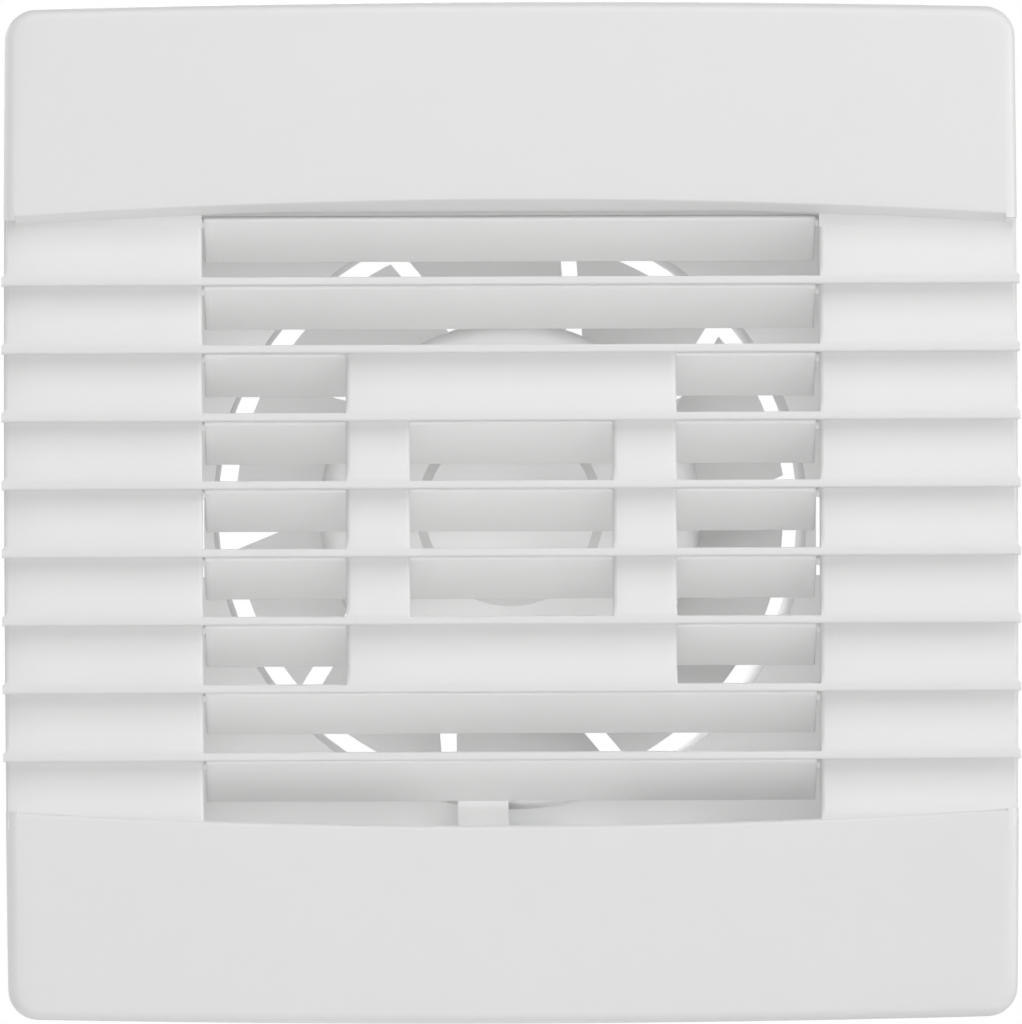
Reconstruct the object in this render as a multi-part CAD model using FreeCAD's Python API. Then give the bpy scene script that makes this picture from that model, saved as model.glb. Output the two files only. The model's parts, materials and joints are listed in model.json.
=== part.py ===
"""Wall exhaust fan for a 100 mm duct, in millimetres.

The fan hangs on a wall in the plane y = 0. The room is at -Y, the duct at +Y and up is +Z, with the
origin on the duct axis in the wall plane. A snap-on front grille carries nine linked shutter blades.
Behind it a base plate with a duct spigot holds a shaded-pole motor in a cup, and the motor's shaft
turns a ten-blade impeller.
"""
import FreeCAD
import Part
import os
from math import atan2, cos, hypot, radians, sin, tan

Vec = FreeCAD.Vector
ORIGIN = Vec(0, 0, 0)
ALONG_X = Vec(1, 0, 0)
ALONG_Y = Vec(0, 1, 0)
ALONG_Z = Vec(0, 0, 1)

# Front grille: a bowed square plate with rounded corners
FRONT_Y = -30.0
PLATE_WIDTH = 160.0
PLATE_HEIGHT = 161.0
SIDE_BOW = 0.5
TOP_BOW = 1.0
CORNER_R = 4.6
GRILLE_WALL = 2.0
FRONT_EDGE_R = 1.8
WALL_GAP = 0.4

# Lips and the clapboard bands between them
LIP_COUNT = 8
LIP_PITCH = 10.7
TOP_LIP_Z = 36.6
LIP_T = 1.3
LIP_DEPTH = 4.2
LIP_EDGE_R = 0.35
BAND_RECESS = 2.5
BAND_INSET = 0.35
LIP_OVERHANG = 0.25

# Plain panels above and below, their edges arched towards the rims
ARCH_MID = 49.3
ARCH_END = 46.8
ARCH_SPAN = 79.0
TOP_BEVEL = 1.4

# Opening, the square ring in it and the ring's window
OPENING_HALF = 48.65
CHEEK_IN = 49.3
RING_HALF = 25.8
WINDOW_HALF = 16.0
CHEEK_T = 1.75
CHEEK_DEPTH = 8.7
CHEEK_TOP = 48.0
CHEEK_BOTTOM = -50.9
SILL_DEPTH = 6.3
SILL_TOP = -49.7

# Shutter blades, hung from pivots behind the lips and drawn open
BLADE_COUNT = 9
TOP_PIVOT_Z = 46.0
PIVOT_DEPTH = 5.6
BLADE_CHORD = 11.2
BLADE_T = 1.0
BLADE_BEAD_R = 0.75
BLADE_LEFT = -48.1
BLADE_RIGHT = 47.4
BLADE_OPEN_ANGLE = 59.0
PIN_R = 0.9
PIN_CLEARANCE = 0.05
CRANK_LENGTH = 5.0
CRANK_ANGLE = 25.0
CRANK_T = 1.3
CRANK_GAP = 0.3
CRANK_PIN_R = 0.7
LINK_WIDTH = 3.2
LINK_T = 1.2

# Fan body: base plate, spigot, motor cup and arms
BASE_INSET = 4.5
BASE_T = 2.5
BASE_RIM_T = 1.6
BASE_RIM_H = 8.0
BASE_CORNER_R = 3.2
SPIGOT_R = 48.6
SPIGOT_WALL = 1.1
SPIGOT_END = 48.0
CUP_R = 30.0
CUP_WALL = 1.6
CUP_FRONT = 15.0
CUP_BACK = 56.0
VENT_COUNT = 8
VENT_IN = 12.0
VENT_OUT = 24.0
VENT_WIDTH = 3.0
POST_R = 3.4
ARM_FRONT = 36.0
ARM_BACK = 48.0
ARM_T = 4.0
ARM_ANGLES = (30.0, 150.0)
WALL_SCREW_HALF = 62.0
WALL_SCREW_R = 2.25
SCREW_BOSS_WALL = 3.5
SCREW_BOSS_H = 1.5
SLOT_IN = 48.9
SLOT_OUT = 51.2
LATCH_LOW = -10.2
LATCH_HIGH = 3.6
HOOK_X = 56.0
HOOK_T = 1.6
HOOK_BARB = 1.3
BARB_Y = -9.0
CATCH_X = 57.9
CATCH_T = 1.6
CATCH_FRONT = -14.0

# Impeller: ten blades with narrow slits between them
IMPELLER_BLADES = 10
IMPELLER_R = 44.0
HUB_R = 30.5
HUB_WALL = 1.6
HUB_FRONT = -4.0
HUB_BACK = 14.0
HUB_EDGE_R = 3.0
NOSE_R = 15.0
NOSE_H = 2.0
VANE_FRONT = -2.5
VANE_BACK = 13.0
VANE_T = 1.6
VANE_CAMBER = 1.2
VANE_TURN = 1.7
SLIT_WIDTH = 2.7
SLIT_INNER_R = 30.8
SLIT_OUTER_R = 42.8
SLIT_SWEEP = 7.0
BOSS_R = 4.5
BOSS_BACK = 2.5

# Motor: a small shaded-pole frame with its coil below the rotor
SHAFT_R = 2.0
SHAFT_FRONT = -4.5
SHAFT_BACK = 50.6
STACK_FRONT = 20.0
STACK_BACK = 36.0
STACK_HALF_W = 16.0
STACK_TOP = 11.5
STACK_BOTTOM = -21.0
BORE_R = 8.2
ROTOR_R = 7.9
END_RING_T = 2.5
WINDOW_TOP = -10.6
LIMB_IN = 9.0
CORE_TOP = -15.5
SPOOL_GAP = 0.1
SPOOL_WALL = 0.8
FLANGE_BUILD = 5.4
FLANGE_TOP_BUILD = 4.6
COIL_BUILD = 4.6
COIL_TOP_BUILD = 3.8
COIL_CORNER_R = 2.5
TAPE_T = 0.3
BOLT_X = 12.4
BOLT_R = 1.5
BUSH_R = 4.0
BUSH_CLEARANCE = 0.03
FRONT_PLATE_Y = 11.0
REAR_PLATE_Y = 43.0
BRACKET_T = 2.0
BRACKET_HALF_H = 5.0
BOSS_WALL_R = 6.5
EAR_X = 21.0
GROMMET_R = 3.0
GROMMET_LIP = 1.4

# Leads and terminal compartment below the spigot
LEAD_R = 0.65
LEAD_X = 1.2
LEAD_BACK_Y = 46.5
LEAD_FRONT_Y = -10.0
CHANNEL_X = -4.5
CHANNEL_Z = -46.4
CHANNEL_IN = 2.7
CHANNEL_OUT = 4.0
CHANNEL_COVER_Z = -45.4
CHANNEL_COVER_T = 0.6
TONGUE_HALF_W = 1.6
TONGUE_T = 0.2
HOOD_Y = -12.6
HOOD_T = 0.8
HOOD_BOTTOM = -50.0
LEAD_TURN_Z = -50.5
TERMINAL_X = 4.5
TERMINAL_Z = -60.0
BLOCK_HALF_W = 12.0
BLOCK_HALF_H = 6.0
BLOCK_FRONT = -15.0
BLOCK_BACK = -5.0
WAY_R = 2.2
WAY_PITCH = 3.0
LID_HALF_W = 17.0
LID_FRONT = -21.0
LID_TOP = 9.5
LID_BOTTOM = -10.0
LID_WALL = 1.2
LID_SCREW_X = -20.5
CABLE_X = 38.0
CABLE_R = 3.6
CABLE_HOLE_R = 5.0
CLAMP_X = 26.0
CLAMP_SCREW_Z = 6.0
CLAMP_SEAT = -8.5
PILOT_R = 1.25
SHANK_R = 1.5
PILOT_BOTTOM = -1.5

LIP_Z = [TOP_LIP_Z - LIP_PITCH * i for i in range(LIP_COUNT)]
PIVOT_Z = [TOP_PIVOT_Z - LIP_PITCH * i for i in range(BLADE_COUNT)]
PIVOT_Y = FRONT_Y + PIVOT_DEPTH
CHEEK_OUT = CHEEK_IN + CHEEK_T
CRANK_X = CHEEK_OUT + CRANK_GAP
LINK_X = CRANK_X + CRANK_T + CRANK_GAP


def box(x0, x1, y0, y1, z0, z1):
    """Block between two corners."""
    return Part.makeBox(x1 - x0, y1 - y0, z1 - z0, Vec(x0, y0, z0))


def rod(radius, x, z, y0, y1):
    """Round bar along Y."""
    return Part.makeCylinder(radius, y1 - y0, Vec(x, y0, z), ALONG_Y)


def ring(outer, inner, x, z, y0, y1):
    """Round tube along Y."""
    return rod(outer, x, z, y0, y1).cut(rod(inner, x, z, y0 - 1, y1 + 1))


def cross_rod(radius, x0, x1, y, z):
    """Round bar along X."""
    return Part.makeCylinder(radius, x1 - x0, Vec(x0, y, z), ALONG_X)


def fuse(solids):
    """All solids joined into one, with the seams between flush faces removed."""
    return solids[0].multiFuse(solids[1:]).removeSplitter()


def mirrored(solid):
    """The same piece on the other side of the fan."""
    return solid.mirror(ORIGIN, ALONG_X)


def polygon(points):
    """Flat face inside a closed line of corners."""
    corners = [Vec(*point) for point in points]
    return Part.Face(Part.makePolygon(corners + corners[:1]))


def bowed_block(inset, y0, y1, corner_r):
    """Square block whose four sides bow outwards, drawn in by inset from the grille's outline."""
    half_w = PLATE_WIDTH / 2 - inset
    half_h = PLATE_HEIGHT / 2 - inset
    corner_x = half_w - SIDE_BOW
    corner_z = half_h - TOP_BOW
    corners = [(corner_x, -corner_z), (corner_x, corner_z), (-corner_x, corner_z), (-corner_x, -corner_z)]
    middles = [(half_w, 0), (0, half_h), (-half_w, 0), (0, -half_h)]
    sides = []
    for i, (mid_x, mid_z) in enumerate(middles):
        start = Vec(corners[i][0], y0, corners[i][1])
        end = Vec(corners[(i + 1) % 4][0], y0, corners[(i + 1) % 4][1])
        sides.append(Part.Arc(start, Vec(mid_x, y0, mid_z), end).toShape())
    block = Part.Face(Part.Wire(sides)).extrude(Vec(0, y1 - y0, 0))
    uprights = [edge for edge in block.Edges if abs(edge.tangentAt(edge.FirstParameter).y) > 0.99]
    return block.makeFillet(corner_r, uprights)


def arch_face(y, side):
    """Half of the space between the panels, from the middle line to the arched edge above or below."""
    reach = PLATE_WIDTH / 2 + 2
    drop = (ARCH_MID - ARCH_END) * (reach / ARCH_SPAN) ** 2
    left = Vec(-reach, y, side * (ARCH_MID - drop))
    right = Vec(reach, y, side * (ARCH_MID - drop))
    arch = Part.Arc(left, Vec(0, y, side * ARCH_MID), right).toShape()
    middle_right = Vec(reach, y, 0)
    middle_left = Vec(-reach, y, 0)
    lines = Part.makePolygon([right, middle_right, middle_left, left])
    return Part.Face(Part.Wire([arch] + lines.Edges))


def cover_shell():
    """Snap-on cover: front plate with soft edges, side walls and the gap between the two panels."""
    outer = bowed_block(0, FRONT_Y, -WALL_GAP, CORNER_R)
    front_edges = []
    for edge in outer.Edges:
        if all(abs(vertex.Y - FRONT_Y) < 1e-6 for vertex in edge.Vertexes):
            front_edges.append(edge)
    outer = outer.makeFillet(FRONT_EDGE_R, front_edges)
    inner = bowed_block(GRILLE_WALL, FRONT_Y + GRILLE_WALL, 1, CORNER_R - GRILLE_WALL)
    shell = outer.cut(inner)
    gap_depth = LIP_DEPTH - 0.2
    bevel = Vec(0, GRILLE_WALL + 1, -TOP_BEVEL * (GRILLE_WALL + 1) / GRILLE_WALL)
    upper = arch_face(FRONT_Y, 1).extrude(bevel)
    lower = arch_face(FRONT_Y - 1, -1).extrude(Vec(0, gap_depth + 1, 0))
    side_gap = box(-PLATE_WIDTH, PLATE_WIDTH, FRONT_Y, FRONT_Y + gap_depth, 0, ARCH_END - TOP_BEVEL)
    return shell.cut(upper).cut(lower).cut(side_gap)


def clapboard_edges(z_above, z_below, x):
    """Front line of one band: under a lip, down a hollow curve and round the next lip."""
    top = z_above - LIP_T / 2
    bottom = z_below + LIP_T / 2
    rise = top - bottom
    bend_r = (BAND_RECESS ** 2 + rise ** 2) / (2 * BAND_RECESS)
    half_turn = atan2(rise, bend_r - BAND_RECESS) / 2
    bend_y = FRONT_Y + BAND_RECESS - bend_r * (1 - cos(half_turn))
    start = Vec(x, FRONT_Y + BAND_RECESS, top)
    curve = Part.Arc(start, Vec(x, bend_y, top - bend_r * sin(half_turn)), Vec(x, FRONT_Y, bottom))
    face_end = Vec(x, FRONT_Y, z_below - LIP_T / 2 + LIP_EDGE_R)
    nose_end = Vec(x, FRONT_Y + LIP_EDGE_R, z_below - LIP_T / 2)
    slant = LIP_EDGE_R * (1 - cos(radians(45)))
    nose_mid = Vec(x, FRONT_Y + slant, z_below - LIP_T / 2 + slant)
    face = Part.LineSegment(Vec(x, FRONT_Y, bottom), face_end)
    nose = Part.Arc(face_end, nose_mid, nose_end)
    return start, [curve.toShape(), face.toShape(), nose.toShape()], nose_end


def clapboard(lips, x0, x1, top_extra=0.0):
    """Run of bands between the first and last lip, with a flat back. top_extra carries it up."""
    back_y = FRONT_Y + LIP_DEPTH
    edges = []
    last = None
    for above, below in zip(lips, lips[1:]):
        start, band, end = clapboard_edges(above, below, x0)
        if last is not None:
            edges.append(Part.makeLine(last, start))
        else:
            first = start
        edges += band
        last = end
    bottom_back = Vec(x0, back_y, last.z)
    top_back = Vec(x0, back_y, first.z + top_extra)
    top_front = Vec(x0, FRONT_Y + BAND_RECESS, first.z + top_extra)
    edges += Part.makePolygon([last, bottom_back, top_back]).Edges
    if top_extra:
        edges += Part.makePolygon([top_back, top_front, first]).Edges
    else:
        edges.append(Part.makeLine(top_back, first))
    return Part.Face(Part.Wire(edges)).extrude(Vec(x1 - x0, 0, 0))


def lip_bar(z):
    """One lip, right across the grille."""
    half = PLATE_WIDTH / 2 + LIP_OVERHANG
    bar = box(-half, half, FRONT_Y, FRONT_Y + LIP_DEPTH, z - LIP_T / 2, z + LIP_T / 2)
    noses = []
    for edge in bar.Edges:
        ends = [vertex.Point for vertex in edge.Vertexes]
        if abs(ends[0].x - ends[1].x) > half and ends[0].y < FRONT_Y + 0.1:
            noses.append(edge)
    return bar.makeFillet(LIP_EDGE_R, noses)


def wing():
    """Clapboard wing between the opening and the right rim, with its tie to the panel above."""
    lips = [TOP_LIP_Z + LIP_PITCH] + LIP_Z + [LIP_Z[-1] - LIP_PITCH]
    bands = clapboard(lips, OPENING_HALF, PLATE_WIDTH / 2, ARCH_MID - TOP_LIP_Z - LIP_PITCH + 1.5)
    outline = bowed_block(BAND_INSET, FRONT_Y - 1, 0, CORNER_R)
    tie_y = FRONT_Y + GRILLE_WALL - 0.2
    tie = box(OPENING_HALF, PLATE_WIDTH / 2 - 1, tie_y, FRONT_Y + LIP_DEPTH, ARCH_MID - 1, ARCH_MID + 2)
    return [bands.common(outline), tie]


def centre_ring():
    """Square ring of filled bands in front of the motor, with an open window."""
    top = clapboard(LIP_Z[1:3], -RING_HALF, RING_HALF)
    bottom = clapboard(LIP_Z[5:7], -RING_HALF, RING_HALF)
    side = clapboard(LIP_Z[2:6], WINDOW_HALF, RING_HALF)
    return [top, bottom, side, mirrored(side)]


def cheek():
    """Side wall of the opening, with a pivot hole for every blade."""
    back = FRONT_Y + CHEEK_DEPTH
    front = FRONT_Y + LIP_DEPTH - 0.5
    wall = box(CHEEK_IN, CHEEK_OUT, front, back, CHEEK_BOTTOM, CHEEK_TOP)
    for z in PIVOT_Z:
        hole_r = PIN_R + PIN_CLEARANCE
        wall = wall.cut(cross_rod(hole_r, CHEEK_IN - 1, CHEEK_OUT + 1, PIVOT_Y, z))
    return wall


def hook():
    """Snap hook that holds the grille to the base plate's catch."""
    tip = -BASE_T - 0.5
    low = LATCH_LOW + 3
    high = LATCH_HIGH - 3
    out = HOOK_X + HOOK_T
    leg = box(HOOK_X, out, FRONT_Y + LIP_DEPTH - 0.5, tip, low, high)
    barb = polygon([(out, BARB_Y, low), (out + HOOK_BARB, BARB_Y, low), (out, tip, low)])
    return leg.fuse(barb.extrude(Vec(0, 0, high - low)))


def front_grille():
    """Front grille, one moulding."""
    sill_back = FRONT_Y + SILL_DEPTH
    sill = box(-CHEEK_OUT, CHEEK_OUT, FRONT_Y + 1.5, sill_back, CHEEK_BOTTOM, SILL_TOP)
    right = wing() + [cheek(), hook()]
    left = [mirrored(solid) for solid in right]
    bars = [lip_bar(z) for z in LIP_Z]
    return fuse([cover_shell()] + right + left + bars + centre_ring() + [sill])


def shutter_blade(pivot_z):
    """One blade: a thin plate under a rounded bead, end pins, and a crank beyond the right cheek."""
    half = BLADE_T / 2
    plate = box(BLADE_LEFT, BLADE_RIGHT, PIVOT_Y - half, PIVOT_Y + half, pivot_z - BLADE_CHORD, pivot_z)
    lower_edges = [edge for edge in plate.Edges if edge.BoundBox.ZMax < pivot_z - BLADE_CHORD + 0.1]
    plate = plate.makeFillet(half * 0.8, [edge for edge in lower_edges if edge.Length > BLADE_CHORD])
    plate.rotate(Vec(0, PIVOT_Y, pivot_z), ALONG_X, BLADE_OPEN_ANGLE)
    bead = cross_rod(BLADE_BEAD_R, BLADE_LEFT, BLADE_RIGHT, PIVOT_Y, pivot_z)
    left_pin = cross_rod(PIN_R, 0.3 - CHEEK_OUT, BLADE_LEFT + 0.4, PIVOT_Y, pivot_z)
    right_pin = cross_rod(PIN_R, BLADE_RIGHT - 0.4, CRANK_X + CRANK_T, PIVOT_Y, pivot_z)
    crank_y, crank_z = crank_pin_place(pivot_z)
    arm = box(CRANK_X, CRANK_X + CRANK_T, PIVOT_Y, PIVOT_Y + CRANK_LENGTH, pivot_z - 1, pivot_z + 1)
    arm.rotate(Vec(0, PIVOT_Y, pivot_z), ALONG_X, CRANK_ANGLE)
    knuckle = cross_rod(PIN_R + 0.2, CRANK_X, CRANK_X + CRANK_T, PIVOT_Y, pivot_z)
    eye = cross_rod(CRANK_PIN_R + 0.6, CRANK_X, CRANK_X + CRANK_T, crank_y, crank_z)
    crank_pin = cross_rod(CRANK_PIN_R, CRANK_X, LINK_X + LINK_T + 0.4, crank_y, crank_z)
    return fuse([plate, bead, left_pin, right_pin, arm, knuckle, eye, crank_pin])


def crank_pin_place(pivot_z):
    """Depth and height of a blade's crank pin."""
    angle = radians(CRANK_ANGLE)
    return PIVOT_Y + CRANK_LENGTH * cos(angle), pivot_z + CRANK_LENGTH * sin(angle)


def shutter_link():
    """Flat bar that joins the nine crank pins so that the blades swing together."""
    pin_y, top_z = crank_pin_place(PIVOT_Z[0])
    bottom_z = crank_pin_place(PIVOT_Z[-1])[1]
    half = LINK_WIDTH / 2
    bar = box(LINK_X, LINK_X + LINK_T, pin_y - half, pin_y + half, bottom_z, top_z)
    ends = [cross_rod(half, LINK_X, LINK_X + LINK_T, pin_y, z) for z in (bottom_z, top_z)]
    bar = fuse([bar] + ends)
    for pivot_z in PIVOT_Z:
        pin_z = crank_pin_place(pivot_z)[1]
        hole = cross_rod(CRANK_PIN_R + PIN_CLEARANCE, LINK_X - 1, LINK_X + LINK_T + 1, pin_y, pin_z)
        bar = bar.cut(hole)
    return bar


def base_plate():
    """Base plate with a rim, screw bosses, catches for the hooks and the compartment's bosses."""
    plate = bowed_block(BASE_INSET, -BASE_T, 0, BASE_CORNER_R)
    rim = bowed_block(BASE_INSET, -BASE_RIM_H, -BASE_T + 0.5, BASE_CORNER_R)
    rim = rim.cut(bowed_block(BASE_INSET + BASE_RIM_T, -BASE_RIM_H - 1, 1, BASE_CORNER_R - BASE_RIM_T))
    solids = [plate, rim]
    for x in (-WALL_SCREW_HALF, WALL_SCREW_HALF):
        for z in (-WALL_SCREW_HALF, WALL_SCREW_HALF):
            solids.append(rod(WALL_SCREW_R + SCREW_BOSS_WALL, x, z, -BASE_T - SCREW_BOSS_H, -1))
    catch = box(CATCH_X, CATCH_X + CATCH_T, CATCH_FRONT, -1, LATCH_LOW - 0.8, LATCH_HIGH + 1)
    eye = box(CATCH_X - 1, CATCH_X + CATCH_T + 1, BARB_Y - 1, -BASE_T - 0.7, LATCH_LOW + 2, LATCH_HIGH - 2)
    catch = catch.cut(eye)
    solids += [catch, mirrored(catch)]
    pad = BLOCK_HALF_W - 1
    pad_h = BLOCK_HALF_H - 1
    solids.append(box(-pad, pad, BLOCK_BACK, -1, TERMINAL_Z - pad_h, TERMINAL_Z + pad_h))
    solids.append(rod(PILOT_R + 1.95, LID_SCREW_X, TERMINAL_Z, BLOCK_BACK, -1))
    for z in (TERMINAL_Z - CLAMP_SCREW_Z, TERMINAL_Z + CLAMP_SCREW_Z):
        solids.append(rod(PILOT_R + 1.75, CLAMP_X, z, CLAMP_SEAT, -1))
    return solids


def motor_cup():
    """Cup for the motor, closed at the back with vents and two screw posts."""
    cup = ring(CUP_R, CUP_R - CUP_WALL, 0, 0, CUP_FRONT, CUP_BACK)
    back = rod(CUP_R - 0.5, 0, 0, CUP_BACK - CUP_WALL, CUP_BACK)
    for i in range(VENT_COUNT):
        vent = box(VENT_IN, VENT_OUT, CUP_BACK - 3, CUP_BACK + 1, -VENT_WIDTH / 2, VENT_WIDTH / 2)
        vent.rotate(ORIGIN, ALONG_Y, 360 / VENT_COUNT * (i + 0.5))
        back = back.cut(vent)
    post_front = REAR_PLATE_Y + BRACKET_T + GROMMET_LIP
    posts = [rod(POST_R, x, 0, post_front, CUP_BACK - 1) for x in (-EAR_X, EAR_X)]
    return [cup, back] + posts


def motor_arms():
    """Two plain arms, and below the motor an open arm that the leads run in, with its channel."""
    inner = CUP_R - CUP_WALL / 2
    outer = SPIGOT_R - SPIGOT_WALL / 2
    arms = []
    for angle in ARM_ANGLES:
        arm = box(inner, outer, ARM_FRONT, ARM_BACK, -ARM_T / 2, ARM_T / 2)
        arm.rotate(ORIGIN, ALONG_Y, -angle)
        arms.append(arm)
    inside = rod(outer, 0, 0, -BASE_T, ARM_BACK)
    core = rod(inner, 0, 0, -BASE_T, ARM_BACK)
    wall_t = CHANNEL_OUT - CHANNEL_IN
    for x0 in (CHANNEL_X - CHANNEL_OUT, CHANNEL_X + CHANNEL_IN):
        side = box(x0, x0 + wall_t, ARM_FRONT, ARM_BACK, -SPIGOT_R, CUP_WALL - CUP_R)
        arms.append(side.common(inside).cut(core))
        kerb = box(x0, x0 + wall_t, -BASE_T, ARM_FRONT + 1, -SPIGOT_R, CHANNEL_COVER_Z)
        arms.append(kerb.common(inside))
    return arms


def fan_body():
    """Fan body, one moulding: base plate, duct spigot, motor cup and its arms."""
    bore_r = SPIGOT_R - SPIGOT_WALL
    base = fuse(base_plate()).cut(rod(bore_r, 0, 0, -20, 1))
    spigot = ring(SPIGOT_R, bore_r, 0, 0, -BASE_T, SPIGOT_END)
    body = fuse([base, spigot] + motor_cup() + motor_arms())
    cuts = []
    for x in (-WALL_SCREW_HALF, WALL_SCREW_HALF):
        for z in (-WALL_SCREW_HALF, WALL_SCREW_HALF):
            cuts.append(rod(WALL_SCREW_R, x, z, -20, 1))
    slot = box(SLOT_IN, SLOT_OUT, -20, 1, LATCH_LOW, LATCH_HIGH)
    cuts += [slot, mirrored(slot)]
    way_front = LEAD_BACK_Y - 4 * LEAD_R
    way_top = CUP_WALL - CUP_R + 2
    cuts.append(box(CHANNEL_X - CHANNEL_IN, CHANNEL_X + CHANNEL_IN, way_front, ARM_BACK, -CUP_R - 1, way_top))
    cuts.append(rod(CABLE_HOLE_R, CABLE_X, TERMINAL_Z, -20, 1))
    cuts.append(rod(SHANK_R, 0, TERMINAL_Z, -20, PILOT_BOTTOM))
    cuts.append(rod(PILOT_R, LID_SCREW_X, TERMINAL_Z, -20, PILOT_BOTTOM))
    for z in (TERMINAL_Z - CLAMP_SCREW_Z, TERMINAL_Z + CLAMP_SCREW_Z):
        cuts.append(rod(PILOT_R, CLAMP_X, z, -20, PILOT_BOTTOM))
    for x in (-EAR_X, EAR_X):
        cuts.append(rod(SHANK_R, x, 0, REAR_PLATE_Y, CUP_BACK - 2))
    return body.cut(cuts[0].multiFuse(cuts[1:]))


def lead_channel_cover():
    """Strip that closes the lead channel, with a hood where the leads turn down to the terminals."""
    left = CHANNEL_X - CHANNEL_OUT
    right = CHANNEL_X + CHANNEL_OUT
    top = CHANNEL_COVER_Z + CHANNEL_COVER_T
    strip = box(left, right, HOOD_Y, ARM_FRONT - 1.5, CHANNEL_COVER_Z, top)
    hood = box(left, right, HOOD_Y, HOOD_Y + HOOD_T, HOOD_BOTTOM, top)
    tongue_left = CHANNEL_X - TONGUE_HALF_W
    tongue_right = CHANNEL_X + TONGUE_HALF_W
    tongue = box(tongue_left, tongue_right, 2, ARM_FRONT - 4, CHANNEL_COVER_Z - TONGUE_T, CHANNEL_COVER_Z)
    return fuse([strip, hood, tongue])


def slit_edge(shift, reach):
    """Sideways place of a slit's edge at a distance along the vane's own middle line."""
    start_turn = radians(shift * 180 / IMPELLER_BLADES - SLIT_SWEEP / 2)
    end_turn = start_turn + radians(SLIT_SWEEP)
    inner = (SLIT_INNER_R * cos(start_turn), SLIT_INNER_R * sin(start_turn))
    outer = (SLIT_OUTER_R * cos(end_turn), SLIT_OUTER_R * sin(end_turn))
    slope = (outer[1] - inner[1]) / (outer[0] - inner[0])
    middle = inner[1] + slope * (reach - inner[0])
    return middle - shift * SLIT_WIDTH / 2 * hypot(1, slope)


def vane():
    """One impeller vane, cambered, its edges along the slits, seen along its middle line."""
    sections = []
    for reach in (HUB_R - 6, IMPELLER_R + 3):
        low = slit_edge(-1, reach)
        high = slit_edge(1, reach)
        middle = (low + high) / 2
        belly = (VANE_FRONT + VANE_BACK) / 2 + VANE_CAMBER
        curves = []
        for offset in (0, VANE_T):
            lead = Vec(reach, VANE_FRONT + offset, low)
            trail = Vec(reach, VANE_BACK - VANE_T + offset, high)
            curves.append((lead, Vec(reach, belly + offset - VANE_T / 2, middle), trail))
        front = Part.Arc(*curves[0]).toShape()
        rear = Part.Arc(*curves[1]).toShape()
        caps = [Part.makeLine(curves[0][2], curves[1][2]), Part.makeLine(curves[1][0], curves[0][0])]
        sections.append(Part.Wire([front, caps[0], rear, caps[1]]))
    blank = Part.makeLoft(sections, True, True)
    return blank.common(ring(IMPELLER_R, HUB_R - 0.8, 0, 0, VANE_FRONT - 5, VANE_BACK + 5))


def hub():
    """Impeller hub: a cup open to the motor, with a raised nose and a boss for the shaft."""
    front = HUB_FRONT
    inside = front + HUB_WALL
    edge_r = HUB_EDGE_R
    turn = edge_r * (1 - cos(radians(45)))
    outline = [
        Part.makeLine(Vec(0, front - NOSE_H, 0), Vec(NOSE_R - 1.5, front - NOSE_H, 0)),
        Part.makeLine(Vec(NOSE_R - 1.5, front - NOSE_H, 0), Vec(NOSE_R, front, 0)),
        Part.makeLine(Vec(NOSE_R, front, 0), Vec(HUB_R - edge_r, front, 0)),
        Part.Arc(Vec(HUB_R - edge_r, front, 0), Vec(HUB_R - turn, front + turn, 0),
                 Vec(HUB_R, front + edge_r, 0)).toShape(),
        Part.makeLine(Vec(HUB_R, front + edge_r, 0), Vec(HUB_R, HUB_BACK, 0)),
        Part.makeLine(Vec(HUB_R, HUB_BACK, 0), Vec(HUB_R - HUB_WALL, HUB_BACK, 0)),
        Part.makeLine(Vec(HUB_R - HUB_WALL, HUB_BACK, 0), Vec(HUB_R - HUB_WALL, inside + 2, 0)),
        Part.makeLine(Vec(HUB_R - HUB_WALL, inside + 2, 0), Vec(HUB_R - HUB_WALL - 2, inside, 0)),
        Part.makeLine(Vec(HUB_R - HUB_WALL - 2, inside, 0), Vec(0, inside, 0)),
        Part.makeLine(Vec(0, inside, 0), Vec(0, front - NOSE_H, 0)),
    ]
    return Part.Face(Part.Wire(outline)).revolve(ORIGIN, ALONG_Y, 360)


def impeller():
    """Impeller, one moulding: hub and ten vanes, with a split boss on the shaft."""
    vanes = []
    for i in range(IMPELLER_BLADES):
        one = vane()
        one.rotate(ORIGIN, ALONG_Y, -360 / IMPELLER_BLADES * (i + 0.5) - VANE_TURN)
        vanes.append(one)
    boss = rod(BOSS_R, 0, 0, HUB_FRONT, BOSS_BACK)
    wheel = fuse([hub(), boss] + vanes)
    return wheel.cut(rod(SHAFT_R, 0, 0, SHAFT_FRONT, BOSS_BACK + 1))


def impeller_clip():
    """Open spring ring that grips the boss on the shaft."""
    clip = ring(BOSS_R + 0.8, BOSS_R, 0, 0, -0.5, 1.7)
    return clip.cut(box(0, BOSS_R + 2, -2, 3, -1, 1))


def motor_shaft():
    """Ground steel shaft with rounded ends."""
    shaft = rod(SHAFT_R, 0, 0, SHAFT_FRONT, SHAFT_BACK)
    rims = [edge for edge in shaft.Edges if edge.Closed]
    return shaft.makeChamfer(0.4, rims)


def rotor_core():
    """Laminated rotor on the shaft."""
    return ring(ROTOR_R, SHAFT_R, 0, 0, STACK_FRONT, STACK_BACK)


def rotor_end_rings():
    """Cast end rings of the rotor's cage, one at each end."""
    ends = [(STACK_FRONT - END_RING_T, STACK_FRONT), (STACK_BACK, STACK_BACK + END_RING_T)]
    return Part.makeCompound([ring(ROTOR_R - 0.4, 3.8, 0, 0, y0, y1) for y0, y1 in ends])


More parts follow.
